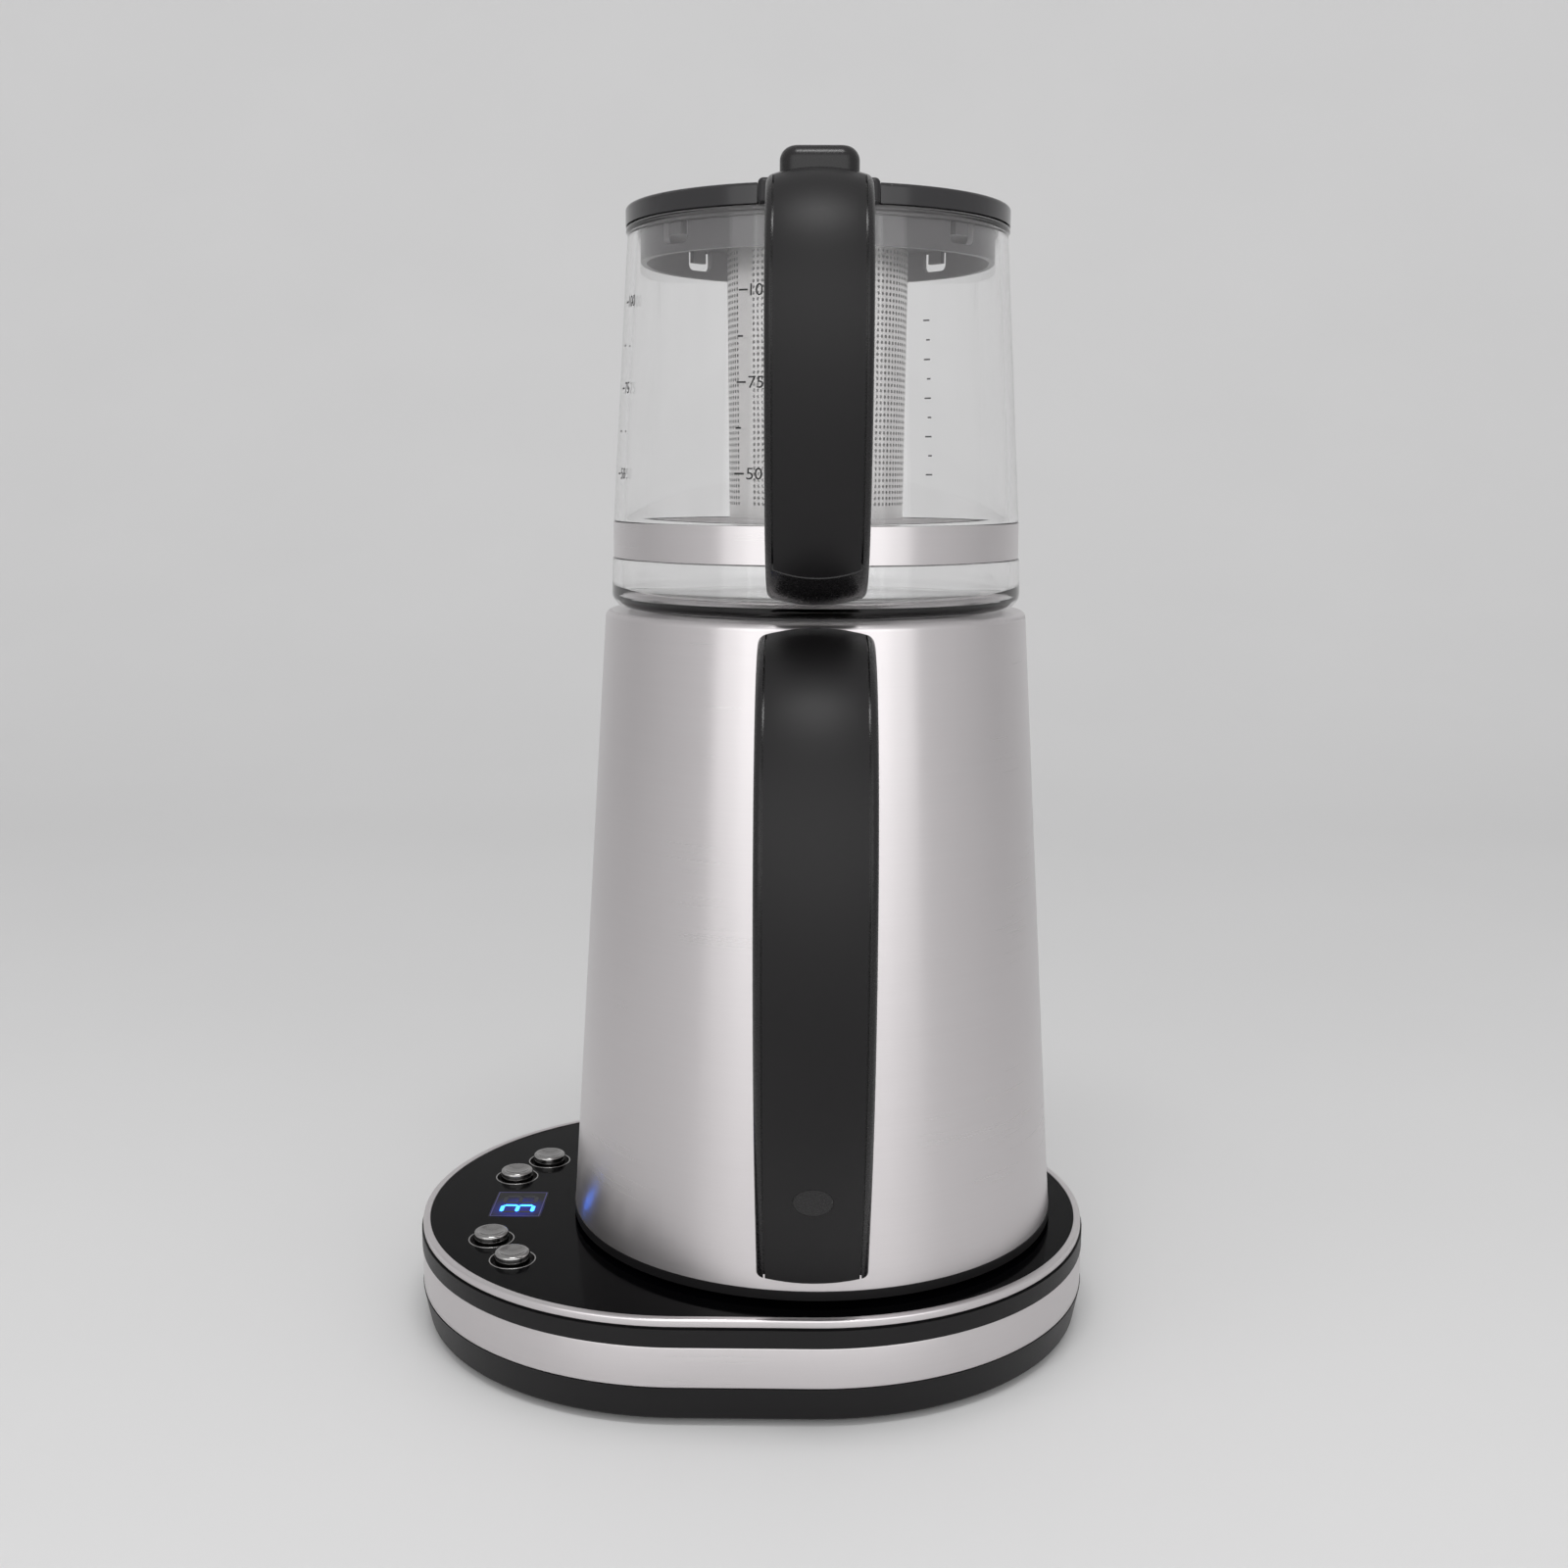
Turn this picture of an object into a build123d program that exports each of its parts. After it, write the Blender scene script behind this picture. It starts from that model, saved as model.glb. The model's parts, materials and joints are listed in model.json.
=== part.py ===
from build123d import *
from math import cos, hypot, radians, sin
import os

os.makedirs("parts", exist_ok=True)

# Two-tier electric tea maker. The kettle's axis is Z, the bench is z = 0, the control
# panel is at -X and both handles point to -Y. All sizes are in millimetres.

# ---------------------------------------------------------------- driving dimensions
# Clearances
fit_gap = 0.2  # between neighbours that are assembled and then stay put
slide_gap = 0.35  # round pieces that lift out or are pressed
running_gap = 0.06  # radial play of a turning fit

# Base
base_radius = 88.0  # of the steel rim
panel_reach = 39.0  # from the kettle's axis to the centre of the control end
foot_height = 2.0
lower_housing_height = 10.6
band_height = 12.5
upper_housing_height = 6.0
rim_height = 2.4
housing_proud = 0.5  # the black housings stand this far outside the rim
band_proud = 0.3
lower_edge_inset = 1.6  # the lower housing draws in towards the bench
lower_edge_round = 1.4
base_wall = 2.2
band_thickness = 0.8
step_height = 0.6  # shadow line under the rim
step_depth = 0.6
carrier_thickness = 1.8  # floor of the upper housing, under the top panel
lip_depth = 4.0  # the upper housing's lip reaches down inside the lower one
lip_thickness = 1.6
rim_thickness = 0.8
rim_lip_width = 2.2
rim_lip_thickness = 0.6
rim_edge_round = 0.35
deck_drop = 0.3  # the top panel lies this far below the rim

# Feet and fasteners
foot_ring_radius = 62.0
foot_ring_width = 8.0
foot_seat_depth = 1.2
pad_radius = 7.0
pad_insets = [(27.0, 34.0), (27.0, -34.0)]  # from the control end, and along Y
screw_radius = 1.5
screw_head_radius = 2.8
screw_head_height = 2.0
screw_length = 16.0
boss_radius = 4.5
boss_split = 16.0  # height where lower boss and upper pillar meet
boss_inset = 11.3  # from the steel rim
boss_angle = 47.0  # degrees from +X, at the kettle's end
panel_boss_angle = 105.8  # degrees from +X, at the control end
counterbore_depth = 5.0

# Control panel
button_radius = 5.4
button_stand = 2.9  # button top above the panel
button_travel = 1.0
button_cap_height = 3.6
button_edge_round = 0.9
button_dish_radius = 10.0
button_dish_depth = 0.7
button_stem_radius = 3.6
button_flange_radius = 4.8
button_flange_thickness = 1.0
button_hole_radius = 7.3
bezel_width = 0.45
bezel_proud = 0.15
panel_centre_y = -7.0
outer_button_inset = 35.4  # from the control end
outer_button_offset = 40.9
inner_button_inset = 26.4
inner_button_offset = 25.8
window_inset = 30.7
window_y = -5.0
window_length = 20.8  # along Y
window_width = 17.0  # along X
window_ledge = 1.2
board_thickness = 1.6
control_board_height = 20.0
control_board_width = 24.0
control_board_length = 100.0
control_post_insets = [(39.0, 38.0), (39.0, -52.0), (24.0, -7.0)]
switch_side = 6.0
switch_height = 3.5
plunger_radius = 1.7
plunger_height = 0.6

# Power electronics
power_board_height = 9.0
power_board_width = 44.0
power_board_length = 76.0
power_board_inset = 65.0
standoff_radius = 3.0
standoff_inset = 5.0  # from the board's edges
relay_inset = (74.0, 22.0)
relay_size = (18.0, 12.0, 10.0)
transformer_inset = (73.0, -2.0)
transformer_size = (20.0, 20.0, 9.0)
capacitor_inset = (73.0, -24.0)
capacitor_radius = 6.0
capacitor_height = 10.0
buzzer_inset = (55.0, 26.0)
buzzer_radius = 6.0
buzzer_port_radius = 1.2
buzzer_height = 7.0

# Cord inlet, at the back
inlet_x = -20.0
inlet_bore_radius = 3.25
inlet_wall = 0.75
inlet_flange_width = 0.8
inlet_flange_thickness = 1.0
inlet_inner_reach = 2.0

# Dock
dock_radius = 20.0
dock_top = 43.0
dock_flange_radius = 27.0
dock_flange_thickness = 3.0
dock_groove_inner = 8.0
dock_groove_outer = 15.0
dock_floor = 31.0
contact_thickness = 1.3
contact_height = 10.0
pin_radius = 2.4
pin_rise = 1.0
pin_well_radius = 3.4
shroud_radius = 29.0
shroud_thickness = 2.75
shroud_lift = 0.05

# Kettle
kettle_bottom = 34.6
kettle_cover_height = 2.8
kettle_cover_radius = 77.75
kettle_bottom_radius = 77.5
kettle_top_radius = 65.3
kettle_top = 229.0
kettle_wall = 1.0
kettle_shoulder_round = 2.0
kettle_mouth_radius = 52.0
cover_plate_thickness = 2.0
cover_upstand = 5.0
heater_clearance = 7.0  # above the dock
heater_thickness = 1.6
element_radius = 50.0
element_tube_radius = 3.4
element_sweep = 300.0  # degrees of the element's open ring
socket_radius = 24.0
probe_radius = 3.0
probe_x = 32.0
probe_rise = 6.0
probe_tip_round = 2.4
bottom_screw_circle = 62.0
bottom_screw_count = 3
bottom_screw_start = 30.0  # degrees from +X to the first screw
mouth_ring_height = 7.0
mouth_ring_width = 5.0
mouth_clip_width = 2.0
gasket_thickness = 0.9
gasket_width = 4.0

# Kettle spout, at the back
spout_foot_drop = 37.0  # below the kettle's top
spout_top_drop = 4.0
spout_foot_radius = 2.0
spout_top_radius = 17.0
spout_wall = 1.0
spout_port_radius = 9.0
spout_port_drop = 17.0
strainer_rim = 2.0
strainer_depth = 6.0
strainer_inset = 4.0  # of its face inside the shell's wall
strainer_thickness = 0.8
strainer_hole_radius = 1.0
strainer_hole_pitch = 3.4
strainer_hole_rows = 4

# Kettle handle: its outer face as (stand-off from the kettle's wall, height)
kettle_handle_width = 32.0
kettle_handle_thickness = 18.0
kettle_handle_round = 2.6
kettle_handle_crown = 2.4  # how far the grip's middle stands above its edges
kettle_cover_panel_width = 27.0
handle_cover_thickness = 3.0
handle_seam = 0.5
handle_section_margin = 0.02  # keeps the edge rounds from lying flat on the sides
kettle_handle_face = [
    (-3.5, 227.0),
    (19.0, 227.2),
    (38.0, 216.2),
    (54.0, 186.0),
    (56.0, 146.0),
    (41.0, 94.0),
    (19.0, 58.0),
    (9.5, 44.0),
]
kettle_screw_heights = [219.0, 58.0]
kettle_cover_start = 8.0  # stand-off at which the cover panel begins
plug_radius = 5.5
plug_position = 0.839  # along the grip's outer face, from its top
plug_thickness = 1.4
handle_pad_width = 12.0
handle_pad_thickness = 2.5
handle_screw_radius = 1.8
handle_screw_head_radius = 3.4
handle_screw_head_height = 2.2
handle_screw_length = 9.5

# Jug
jug_lift_gap = 0.1  # jug above the gasket
jug_bottom_radius = 63.5
jug_waist_radius = 62.6  # just above the band
jug_lip_radius = 57.5
jug_bead = 0.5
jug_bead_height = 2.0
jug_height = 113.1
jug_corner_round = 4.5
jug_floor = 3.2
jug_wall = 3.0
jug_inner_round = 3.5
jug_band_rise = 15.3  # band above the jug's bottom
jug_band_height = 10.7
jug_band_recess = 0.9
jug_band_thickness = 0.75
jug_band_gap = 0.1
beak_drop = 21.0
beak_radius = 10.5
beak_foot_radius = 2.5
beak_wall = 2.3

# Jug handle: its outer face as (stand-off from the jug's lip radius, height above the jug's bottom)
jug_handle_width = 27.2
jug_handle_thickness = 16.5
jug_handle_round = 2.3
jug_handle_crown = 2.3
jug_cover_panel_width = 22.8
jug_handle_face = [
    (-3.0, 117.0),
    (22.0, 118.0),
    (43.5, 114.0),
    (57.5, 96.0),
    (60.0, 66.0),
    (53.0, 36.4),
    (41.0, 16.0),
    (24.0, 6.4),
    (2.0, 7.0),
]
jug_cover_start = 38.5

# Release button on the jug handle
release_width = 20.5
release_length = 24.0
release_centre_y = -80.0
release_top = 353.0
release_depth = 14.4
release_travel = 2.5
release_edge_round = 3.8
release_corner_round = 5.0
release_wall = 2.0
spring_radius = 4.0
spring_wire_radius = 0.5
spring_turns = 5

# Infuser
collar_radius = 53.6
collar_wall = 1.8
collar_drop = 10.6  # skirt below the jug's lip
collar_flange_inner = 51.0
collar_flange_outer = 55.5
collar_flange_thickness = 1.0
collar_plate_thickness = 2.0
collar_tab_angle = 48.0
collar_tab_width = 10.4
collar_tab_height = 6.2
collar_tab_slit = 2.4
collar_tab_round = 2.0
seal_thickness = 0.8
seal_height = 2.0
seal_drop = 1.3
basket_top_radius = 27.5
basket_bottom_radius = 26.8
basket_depth = 86.0
basket_wall = 0.5
basket_flange_width = 3.5
basket_flange_thickness = 0.7
basket_base_rim = 3.0  # turned-up rim of the basket's base

# Lid and its hinge
lid_radius = 58.0
lid_rim_height = 5.5
lid_rim_wall = 1.6
lid_plate_drop = 3.3  # underside of the plate below the rim's top
lid_plate_thickness = 2.0
lid_dome = 3.0
lid_edge_round = 1.0
lid_pocket_depth = 3.0
lid_seal_radius = 49.5
lid_seal_width = 3.5
hinge_y = -57.0
hinge_rise = 3.9  # pin above the jug's lip
hinge_pin_radius = 1.5
knuckle_radius = 2.4
knuckle_half_width = 12.3
cheek_thickness = 3.9
cheek_front = -62.0
cheek_back = -51.0
cheek_rise = 6.3
cheek_round = 1.5

# ---------------------------------------------------------------- derived levels and radii
lower_top = foot_height + lower_housing_height
band_top = lower_top + band_height
upper_top = band_top + upper_housing_height
rim_top = upper_top + rim_height
deck_top = rim_top - deck_drop
rim_lip_bottom = rim_top - rim_lip_thickness
band_inside = band_proud - band_thickness
skirt_outside = band_inside - fit_gap
skirt_inside = skirt_outside - base_wall
lip_outside = skirt_inside - fit_gap
lip_inside = lip_outside - lip_thickness
carrier_bottom = upper_top - carrier_thickness
floor_top = foot_height + base_wall

boss_circle = base_radius - boss_inset
boss_places = [
    (centre_x + boss_circle * cos(radians(angle)), side * boss_circle * sin(radians(angle)))
    for centre_x, angle in ((0, boss_angle), (-panel_reach, panel_boss_angle))
    for side in (1, -1)
]

inlet_radius = inlet_bore_radius + inlet_wall
inlet_place = (inlet_x, foot_height + lower_housing_height / 2)
inlet_outer_y = base_radius + housing_proud + fit_gap / 2
inlet_inner_y = base_radius + skirt_inside - inlet_inner_reach

control_end = -panel_reach - base_radius


def from_end(inset):
    """Place at a distance from the control end, and along Y."""
    return (control_end + inset[0], inset[1])


window_x = control_end + window_inset
outer_button_x = control_end + outer_button_inset
inner_button_x = control_end + inner_button_inset
power_board_x = control_end + power_board_inset
pad_places = [from_end(inset) for inset in pad_insets]
control_post_places = [from_end(inset) for inset in control_post_insets]
button_places = [
    (outer_button_x, panel_centre_y + outer_button_offset),
    (inner_button_x, panel_centre_y + inner_button_offset),
    (inner_button_x, panel_centre_y - inner_button_offset),
    (outer_button_x, panel_centre_y - outer_button_offset),
]
button_top = deck_top + button_stand
button_cap_bottom = button_top - button_cap_height
button_flange_top = carrier_bottom - slide_gap
control_board_top = control_board_height + board_thickness
switch_top = control_board_top + switch_height
button_stem_bottom = switch_top + plunger_height + button_travel + fit_gap

kettle_shell_bottom = kettle_bottom + kettle_cover_height
heater_height = dock_top + heater_clearance
spout_foot_height = kettle_top - spout_foot_drop
spout_top_height = kettle_top - spout_top_drop
spout_port_height = kettle_top - spout_port_drop
cover_plate_bottom = deck_top + shroud_lift + shroud_thickness + fit_gap
jug_bottom = kettle_top + gasket_thickness + jug_lift_gap
jug_top = jug_bottom + jug_height
jug_band_bottom = jug_bottom + jug_band_rise
jug_band_top = jug_band_bottom + jug_band_height
jug_groove_radius = jug_waist_radius - jug_band_recess + jug_band_gap
collar_flange_bottom = jug_top + fit_gap
collar_plate_top = collar_flange_bottom
release_bottom = release_top - release_depth
release_well_floor = release_bottom - release_travel - fit_gap / 2
hinge_z = jug_top + hinge_rise
lid_rim_bottom = jug_top + slide_gap
lid_rim_top = lid_rim_bottom + lid_rim_height
lid_plate_bottom = lid_rim_top - lid_plate_drop
cheek_outer = knuckle_half_width + slide_gap + cheek_thickness
cheek_inner = knuckle_half_width + slide_gap


def kettle_radius(height):
    """Outside radius of the tapered kettle wall at a height."""
    share = (height - kettle_shell_bottom) / (kettle_top - kettle_shell_bottom)
    return kettle_bottom_radius + share * (kettle_top_radius - kettle_bottom_radius)


def jug_radius(height):
    """Outside radius of the glass at a height above its band."""
    share = (height - jug_band_top) / (jug_top - jug_bead_height - jug_band_top)
    return jug_waist_radius + share * (jug_lip_radius - jug_waist_radius)


def base_plan(margin, mode=Mode.ADD):
    """Plan of the base, with its edge margin outside the steel rim."""
    with Locations((-panel_reach / 2, 0)):
        SlotCenterToCenter(panel_reach, 2 * (base_radius + margin), mode=mode)


def turn(outline, rounds=(), mode=Mode.ADD):
    """Revolve (radius, height) points round Z, with some corners rounded first."""
    with BuildSketch(Plane.XZ) as section:
        with BuildLine():
            Polyline(*outline, close=True)
        make_face()
        for corner, radius in rounds:
            fillet(section.vertices().sort_by_distance((*corner, 0))[0], radius)
    revolve(section.sketch, axis=Axis.Z, mode=mode)


def tube(inner, outer, bottom, top, mode=Mode.ADD):
    """Upright ring, or a disc where inner is 0."""
    with BuildSketch(Plane.XY.offset(bottom)) as section:
        Circle(outer)
        if inner > 0:
            Circle(inner, mode=Mode.SUBTRACT)
    extrude(section.sketch, amount=top - bottom, mode=mode)


def block(x_span, y_span, z_span, mode=Mode.ADD):
    """Box between two corners, given as spans."""
    x_size, y_size, z_size = (span[1] - span[0] for span in (x_span, y_span, z_span))
    with BuildSketch(Plane.XY.offset(z_span[0])) as section:
        with Locations((x_span[0] + x_size / 2, y_span[0] + y_size / 2)):
            Rectangle(x_size, y_size)
    extrude(section.sketch, amount=z_size, mode=mode)


def rod(radius, place, y_start, y_end, mode=Mode.ADD):
    """Round bar along Y, with its centre at an (x, z) place."""
    with BuildSketch(Plane.XZ.offset(-y_start)) as section:
        with Locations(place):
            Circle(radius)
    extrude(section.sketch, amount=y_start - y_end, mode=mode)


def save(piece, name):
    """Label a finished piece and write it."""
    piece.part.label = name
    export_step(piece.part, f"parts/{name}.step")


# ---------------------------------------------------------------- base housings
with BuildPart() as base_bottom_housing:
    with BuildSketch(Plane.XY.offset(foot_height)):
        base_plan(-lower_edge_inset)
    with BuildSketch(Plane.XY.offset(lower_top)):
        base_plan(housing_proud)
    loft(ruled=True)
    fillet(base_bottom_housing.faces().sort_by(Axis.Z)[0].edges(), lower_edge_round)
    with BuildSketch(Plane.XY.offset(lower_top)):
        base_plan(skirt_outside)
    extrude(amount=band_height - 2 * fit_gap)
    with BuildSketch(Plane.XY.offset(floor_top)):
        base_plan(skirt_inside)
    extrude(amount=band_top - floor_top, mode=Mode.SUBTRACT)
    # Screw bosses, and standoffs for the two boards
    with BuildSketch(Plane.XY.offset(floor_top)):
        with Locations(*boss_places):
            Circle(boss_radius)
    extrude(amount=boss_split - floor_top)
    with BuildSketch(Plane.XY.offset(floor_top)):
        with Locations((power_board_x, 0)):
            with GridLocations(
                power_board_width - 2 * standoff_inset,
                power_board_length - 2 * standoff_inset,
                2,
                2,
            ):
                Circle(standoff_radius)
    extrude(amount=power_board_height - floor_top)
    with BuildSketch(Plane.XY.offset(floor_top)):
        with Locations(*control_post_places):
            Circle(standoff_radius)
    extrude(amount=control_board_height - floor_top)
    # Counterbored screw holes from below
    with BuildSketch(Plane.XY.offset(foot_height)):
        with Locations(*boss_places):
            Circle(screw_radius + fit_gap)
    extrude(amount=boss_split - foot_height, mode=Mode.SUBTRACT)
    with BuildSketch(Plane.XY.offset(foot_height)):
        with Locations(*boss_places):
            Circle(screw_head_radius + fit_gap)
    extrude(amount=counterbore_depth, mode=Mode.SUBTRACT)
    # Seats for the foot ring and the pads
    with BuildSketch(Plane.XY.offset(foot_height)):
        Circle(foot_ring_radius + foot_ring_width / 2 + fit_gap / 2)
        Circle(foot_ring_radius - foot_ring_width / 2 - fit_gap / 2, mode=Mode.SUBTRACT)
        with Locations(*pad_places):
            Circle(pad_radius + fit_gap / 2)
    extrude(amount=foot_seat_depth, mode=Mode.SUBTRACT)
    # Hole for the cord's bush through the back wall
    rod(inlet_radius + fit_gap / 4, inlet_place, inlet_inner_y, inlet_outer_y, Mode.SUBTRACT)
save(base_bottom_housing, "base_bottom_housing")

with BuildPart() as base_band:
    with BuildSketch(Plane.XY.offset(lower_top)):
        base_plan(band_proud)
        base_plan(band_inside, Mode.SUBTRACT)
    extrude(amount=band_height)
save(base_band, "base_band")

with BuildPart() as base_upper_housing:
    with BuildSketch(Plane.XY.offset(band_top)):
        base_plan(housing_proud)
    extrude(amount=upper_housing_height - step_height)
    with BuildSketch(Plane.XY.offset(upper_top - step_height)):
        base_plan(-step_depth)
    extrude(amount=step_height)
    with BuildSketch(Plane.XY.offset(band_top)):
        base_plan(lip_inside)
    extrude(amount=upper_housing_height - carrier_thickness, mode=Mode.SUBTRACT)
    with BuildSketch(Plane.XY.offset(band_top - lip_depth)):
        base_plan(lip_outside)
        base_plan(lip_inside, Mode.SUBTRACT)
    extrude(amount=lip_depth)
    # Pillars over the lower bosses, with holes for the screws
    with BuildSketch(Plane.XY.offset(boss_split)):
        with Locations(*boss_places):
            Circle(boss_radius)
    extrude(amount=carrier_bottom - boss_split)
    with BuildSketch(Plane.XY.offset(boss_split)):
        with Locations(*boss_places):
            Circle(screw_radius + running_gap)
    extrude(amount=carrier_bottom - boss_split, mode=Mode.SUBTRACT)
    # Button guides, display opening and dock hole
    with BuildSketch(Plane.XY.offset(carrier_bottom)):
        with Locations(*button_places):
            Circle(button_stem_radius + slide_gap)
        with Locations((window_x, window_y)):
            Rectangle(window_width - 2 * window_ledge, window_length - 2 * window_ledge)
        Circle(dock_radius + fit_gap)
    extrude(amount=carrier_thickness, mode=Mode.SUBTRACT)
save(base_upper_housing, "base_upper_housing")

with BuildPart() as panel_rim:
    with BuildSketch(Plane.XY.offset(upper_top)):
        base_plan(0)
    extrude(amount=rim_height)
    fillet(panel_rim.faces().sort_by(Axis.Z)[-1].edges(), rim_edge_round)
    with BuildSketch(Plane.XY.offset(upper_top)):
        base_plan(-rim_thickness)
    extrude(amount=rim_height - rim_lip_thickness, mode=Mode.SUBTRACT)
    with BuildSketch(Plane.XY.offset(upper_top)):
        base_plan(-rim_lip_width)
    extrude(amount=rim_height, mode=Mode.SUBTRACT)
save(panel_rim, "panel_rim")

with BuildPart() as top_panel:
    with BuildSketch(Plane.XY.offset(upper_top)):
        base_plan(-rim_thickness - fit_gap)
    extrude(amount=rim_lip_bottom - upper_top)
    with BuildSketch(Plane.XY.offset(upper_top)):
        base_plan(-rim_lip_width - fit_gap / 2)
    extrude(amount=deck_top - upper_top)
    with BuildSketch(Plane.XY.offset(upper_top)):
        with Locations(*button_places):
            Circle(button_hole_radius)
        with Locations((window_x, window_y)):
            Rectangle(window_width + fit_gap, window_length + fit_gap)
        Circle(dock_radius + fit_gap)
    extrude(amount=deck_top - upper_top, mode=Mode.SUBTRACT)
save(top_panel, "top_panel")

with BuildPart() as button_bezels:
    with BuildSketch(Plane.XY.offset(upper_top)):
        with Locations(*button_places):
            Circle(button_hole_radius - fit_gap / 2)
        with Locations(*button_places):
            Circle(button_hole_radius - fit_gap / 2 - bezel_width, mode=Mode.SUBTRACT)
    extrude(amount=deck_top + bezel_proud - upper_top)
save(button_bezels, "button_bezels")

# ---------------------------------------------------------------- feet, screws, cord bush
with BuildPart() as foot_ring:
    tube(
        foot_ring_radius - foot_ring_width / 2,
        foot_ring_radius + foot_ring_width / 2,
        0,
        foot_height + foot_seat_depth,
    )
save(foot_ring, "foot_ring")

with BuildPart() as rubber_pads:
    with BuildSketch():
        with Locations(*pad_places):
            Circle(pad_radius)
    extrude(amount=foot_height + foot_seat_depth)
save(rubber_pads, "rubber_pads")

with BuildPart() as housing_screws:
    with BuildSketch(Plane.XY.offset(foot_height + counterbore_depth - screw_head_height)):
        with Locations(*boss_places):
            Circle(screw_head_radius)
    extrude(amount=screw_head_height)
    with BuildSketch(Plane.XY.offset(foot_height + counterbore_depth)):
        with Locations(*boss_places):
            Circle(screw_radius)
    extrude(amount=screw_length)
save(housing_screws, "housing_screws")

inlet_flange_y = inlet_outer_y + inlet_flange_thickness
with BuildPart() as cord_bush:
    rod(inlet_radius, inlet_place, inlet_inner_y, inlet_outer_y)
    rod(inlet_radius + inlet_flange_width, inlet_place, inlet_outer_y, inlet_flange_y)
    rod(inlet_bore_radius, inlet_place, inlet_inner_y, inlet_flange_y, Mode.SUBTRACT)
save(cord_bush, "cord_bush")

# ---------------------------------------------------------------- control panel
for index, place in enumerate(button_places, start=1):
    with BuildPart() as button:
        with BuildSketch(Plane.XY.offset(button_cap_bottom)):
            with Locations(place):
                Circle(button_radius)
        extrude(amount=button_cap_height)
        fillet(button.faces().sort_by(Axis.Z)[-1].edges(), button_edge_round)
        with BuildSketch(Plane.XY.offset(button_stem_bottom)):
            with Locations(place):
                Circle(button_stem_radius)
        extrude(amount=button_cap_bottom - button_stem_bottom)
        with BuildSketch(Plane.XY.offset(button_flange_top - button_flange_thickness)):
            with Locations(place):
                Circle(button_flange_radius)
        extrude(amount=button_flange_thickness)
        # Dished top: a ball pressed into the cap
        with Locations((*place, button_top - button_dish_depth + button_dish_radius)):
            Sphere(button_dish_radius, mode=Mode.SUBTRACT)
    save(button, f"button_{index}")

with BuildPart() as display_window:
    with BuildSketch(Plane.XY.offset(upper_top)):
        with Locations((window_x, window_y)):
            Rectangle(window_width, window_length)
    extrude(amount=deck_top - upper_top)
save(display_window, "display_window")

with BuildPart() as control_board:
    with BuildSketch(Plane.XY.offset(control_board_height)):
        with Locations((window_x, panel_centre_y)):
            Rectangle(control_board_width, control_board_length)
        base_plan(lip_inside - slide_gap, Mode.INTERSECT)
    extrude(amount=board_thickness)
save(control_board, "control_board")

with BuildPart() as tact_switches:
    with BuildSketch(Plane.XY.offset(control_board_top)):
        with Locations(*button_places):
            Rectangle(switch_side, switch_side)
    extrude(amount=switch_height)
    with BuildSketch(Plane.XY.offset(switch_top)):
        with Locations(*button_places):
            Circle(plunger_radius)
    extrude(amount=plunger_height)
save(tact_switches, "tact_switches")

display_half_width = window_width / 2 - window_ledge - fit_gap
display_half_length = window_length / 2 - window_ledge - fit_gap
with BuildPart() as display_module:
    block(
        (window_x - display_half_width, window_x + display_half_width),
        (window_y - display_half_length, window_y + display_half_length),
        (control_board_top, upper_top - fit_gap),
    )
save(display_module, "display_module")

# ---------------------------------------------------------------- power electronics
power_board_top = power_board_height + board_thickness
with BuildPart() as power_board:
    with BuildSketch(Plane.XY.offset(power_board_height)):
        with Locations((power_board_x, 0)):
            Rectangle(power_board_width, power_board_length)
    extrude(amount=board_thickness)
save(power_board, "power_board")

with BuildPart() as power_components:
    with BuildSketch(Plane.XY.offset(power_board_top)):
        with Locations(from_end(relay_inset)):
            Rectangle(relay_size[0], relay_size[1])
    extrude(amount=relay_size[2])
    with BuildSketch(Plane.XY.offset(power_board_top)):
        with Locations(from_end(transformer_inset)):
            Rectangle(transformer_size[0], transformer_size[1])
    extrude(amount=transformer_size[2])
    with BuildSketch(Plane.XY.offset(power_board_top)):
        with Locations(from_end(capacitor_inset)):
            Circle(capacitor_radius)
    extrude(amount=capacitor_height)
save(power_components, "power_components")

with BuildPart() as buzzer:
    with BuildSketch(Plane.XY.offset(power_board_top)):
        with Locations(from_end(buzzer_inset)):
            Circle(buzzer_radius)
            Circle(buzzer_port_radius, mode=Mode.SUBTRACT)
    extrude(amount=buzzer_height)
save(buzzer, "buzzer")

# ---------------------------------------------------------------- dock
with BuildPart() as dock_connector:
    tube(0, dock_flange_radius, carrier_bottom - dock_flange_thickness, carrier_bottom)
    tube(0, dock_radius, carrier_bottom, dock_top)
    tube(dock_groove_inner, dock_groove_outer, dock_floor, dock_top, Mode.SUBTRACT)
    tube(0, pin_well_radius, dock_floor, dock_top, Mode.SUBTRACT)
save(dock_connector, "dock_connector")

ring_outer = dock_groove_outer - fit_gap / 2
with BuildPart() as dock_contacts:
    tube(ring_outer - contact_thickness, ring_outer, dock_floor, dock_floor + contact_height)
    tube(0, pin_radius, dock_floor, dock_top + pin_rise)
save(dock_contacts, "dock_contacts")

shroud_bottom = deck_top + shroud_lift
with BuildPart() as dock_shroud:
    tube(dock_radius + running_gap, shroud_radius, shroud_bottom, shroud_bottom + shroud_thickness)
save(dock_shroud, "dock_shroud")

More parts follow.
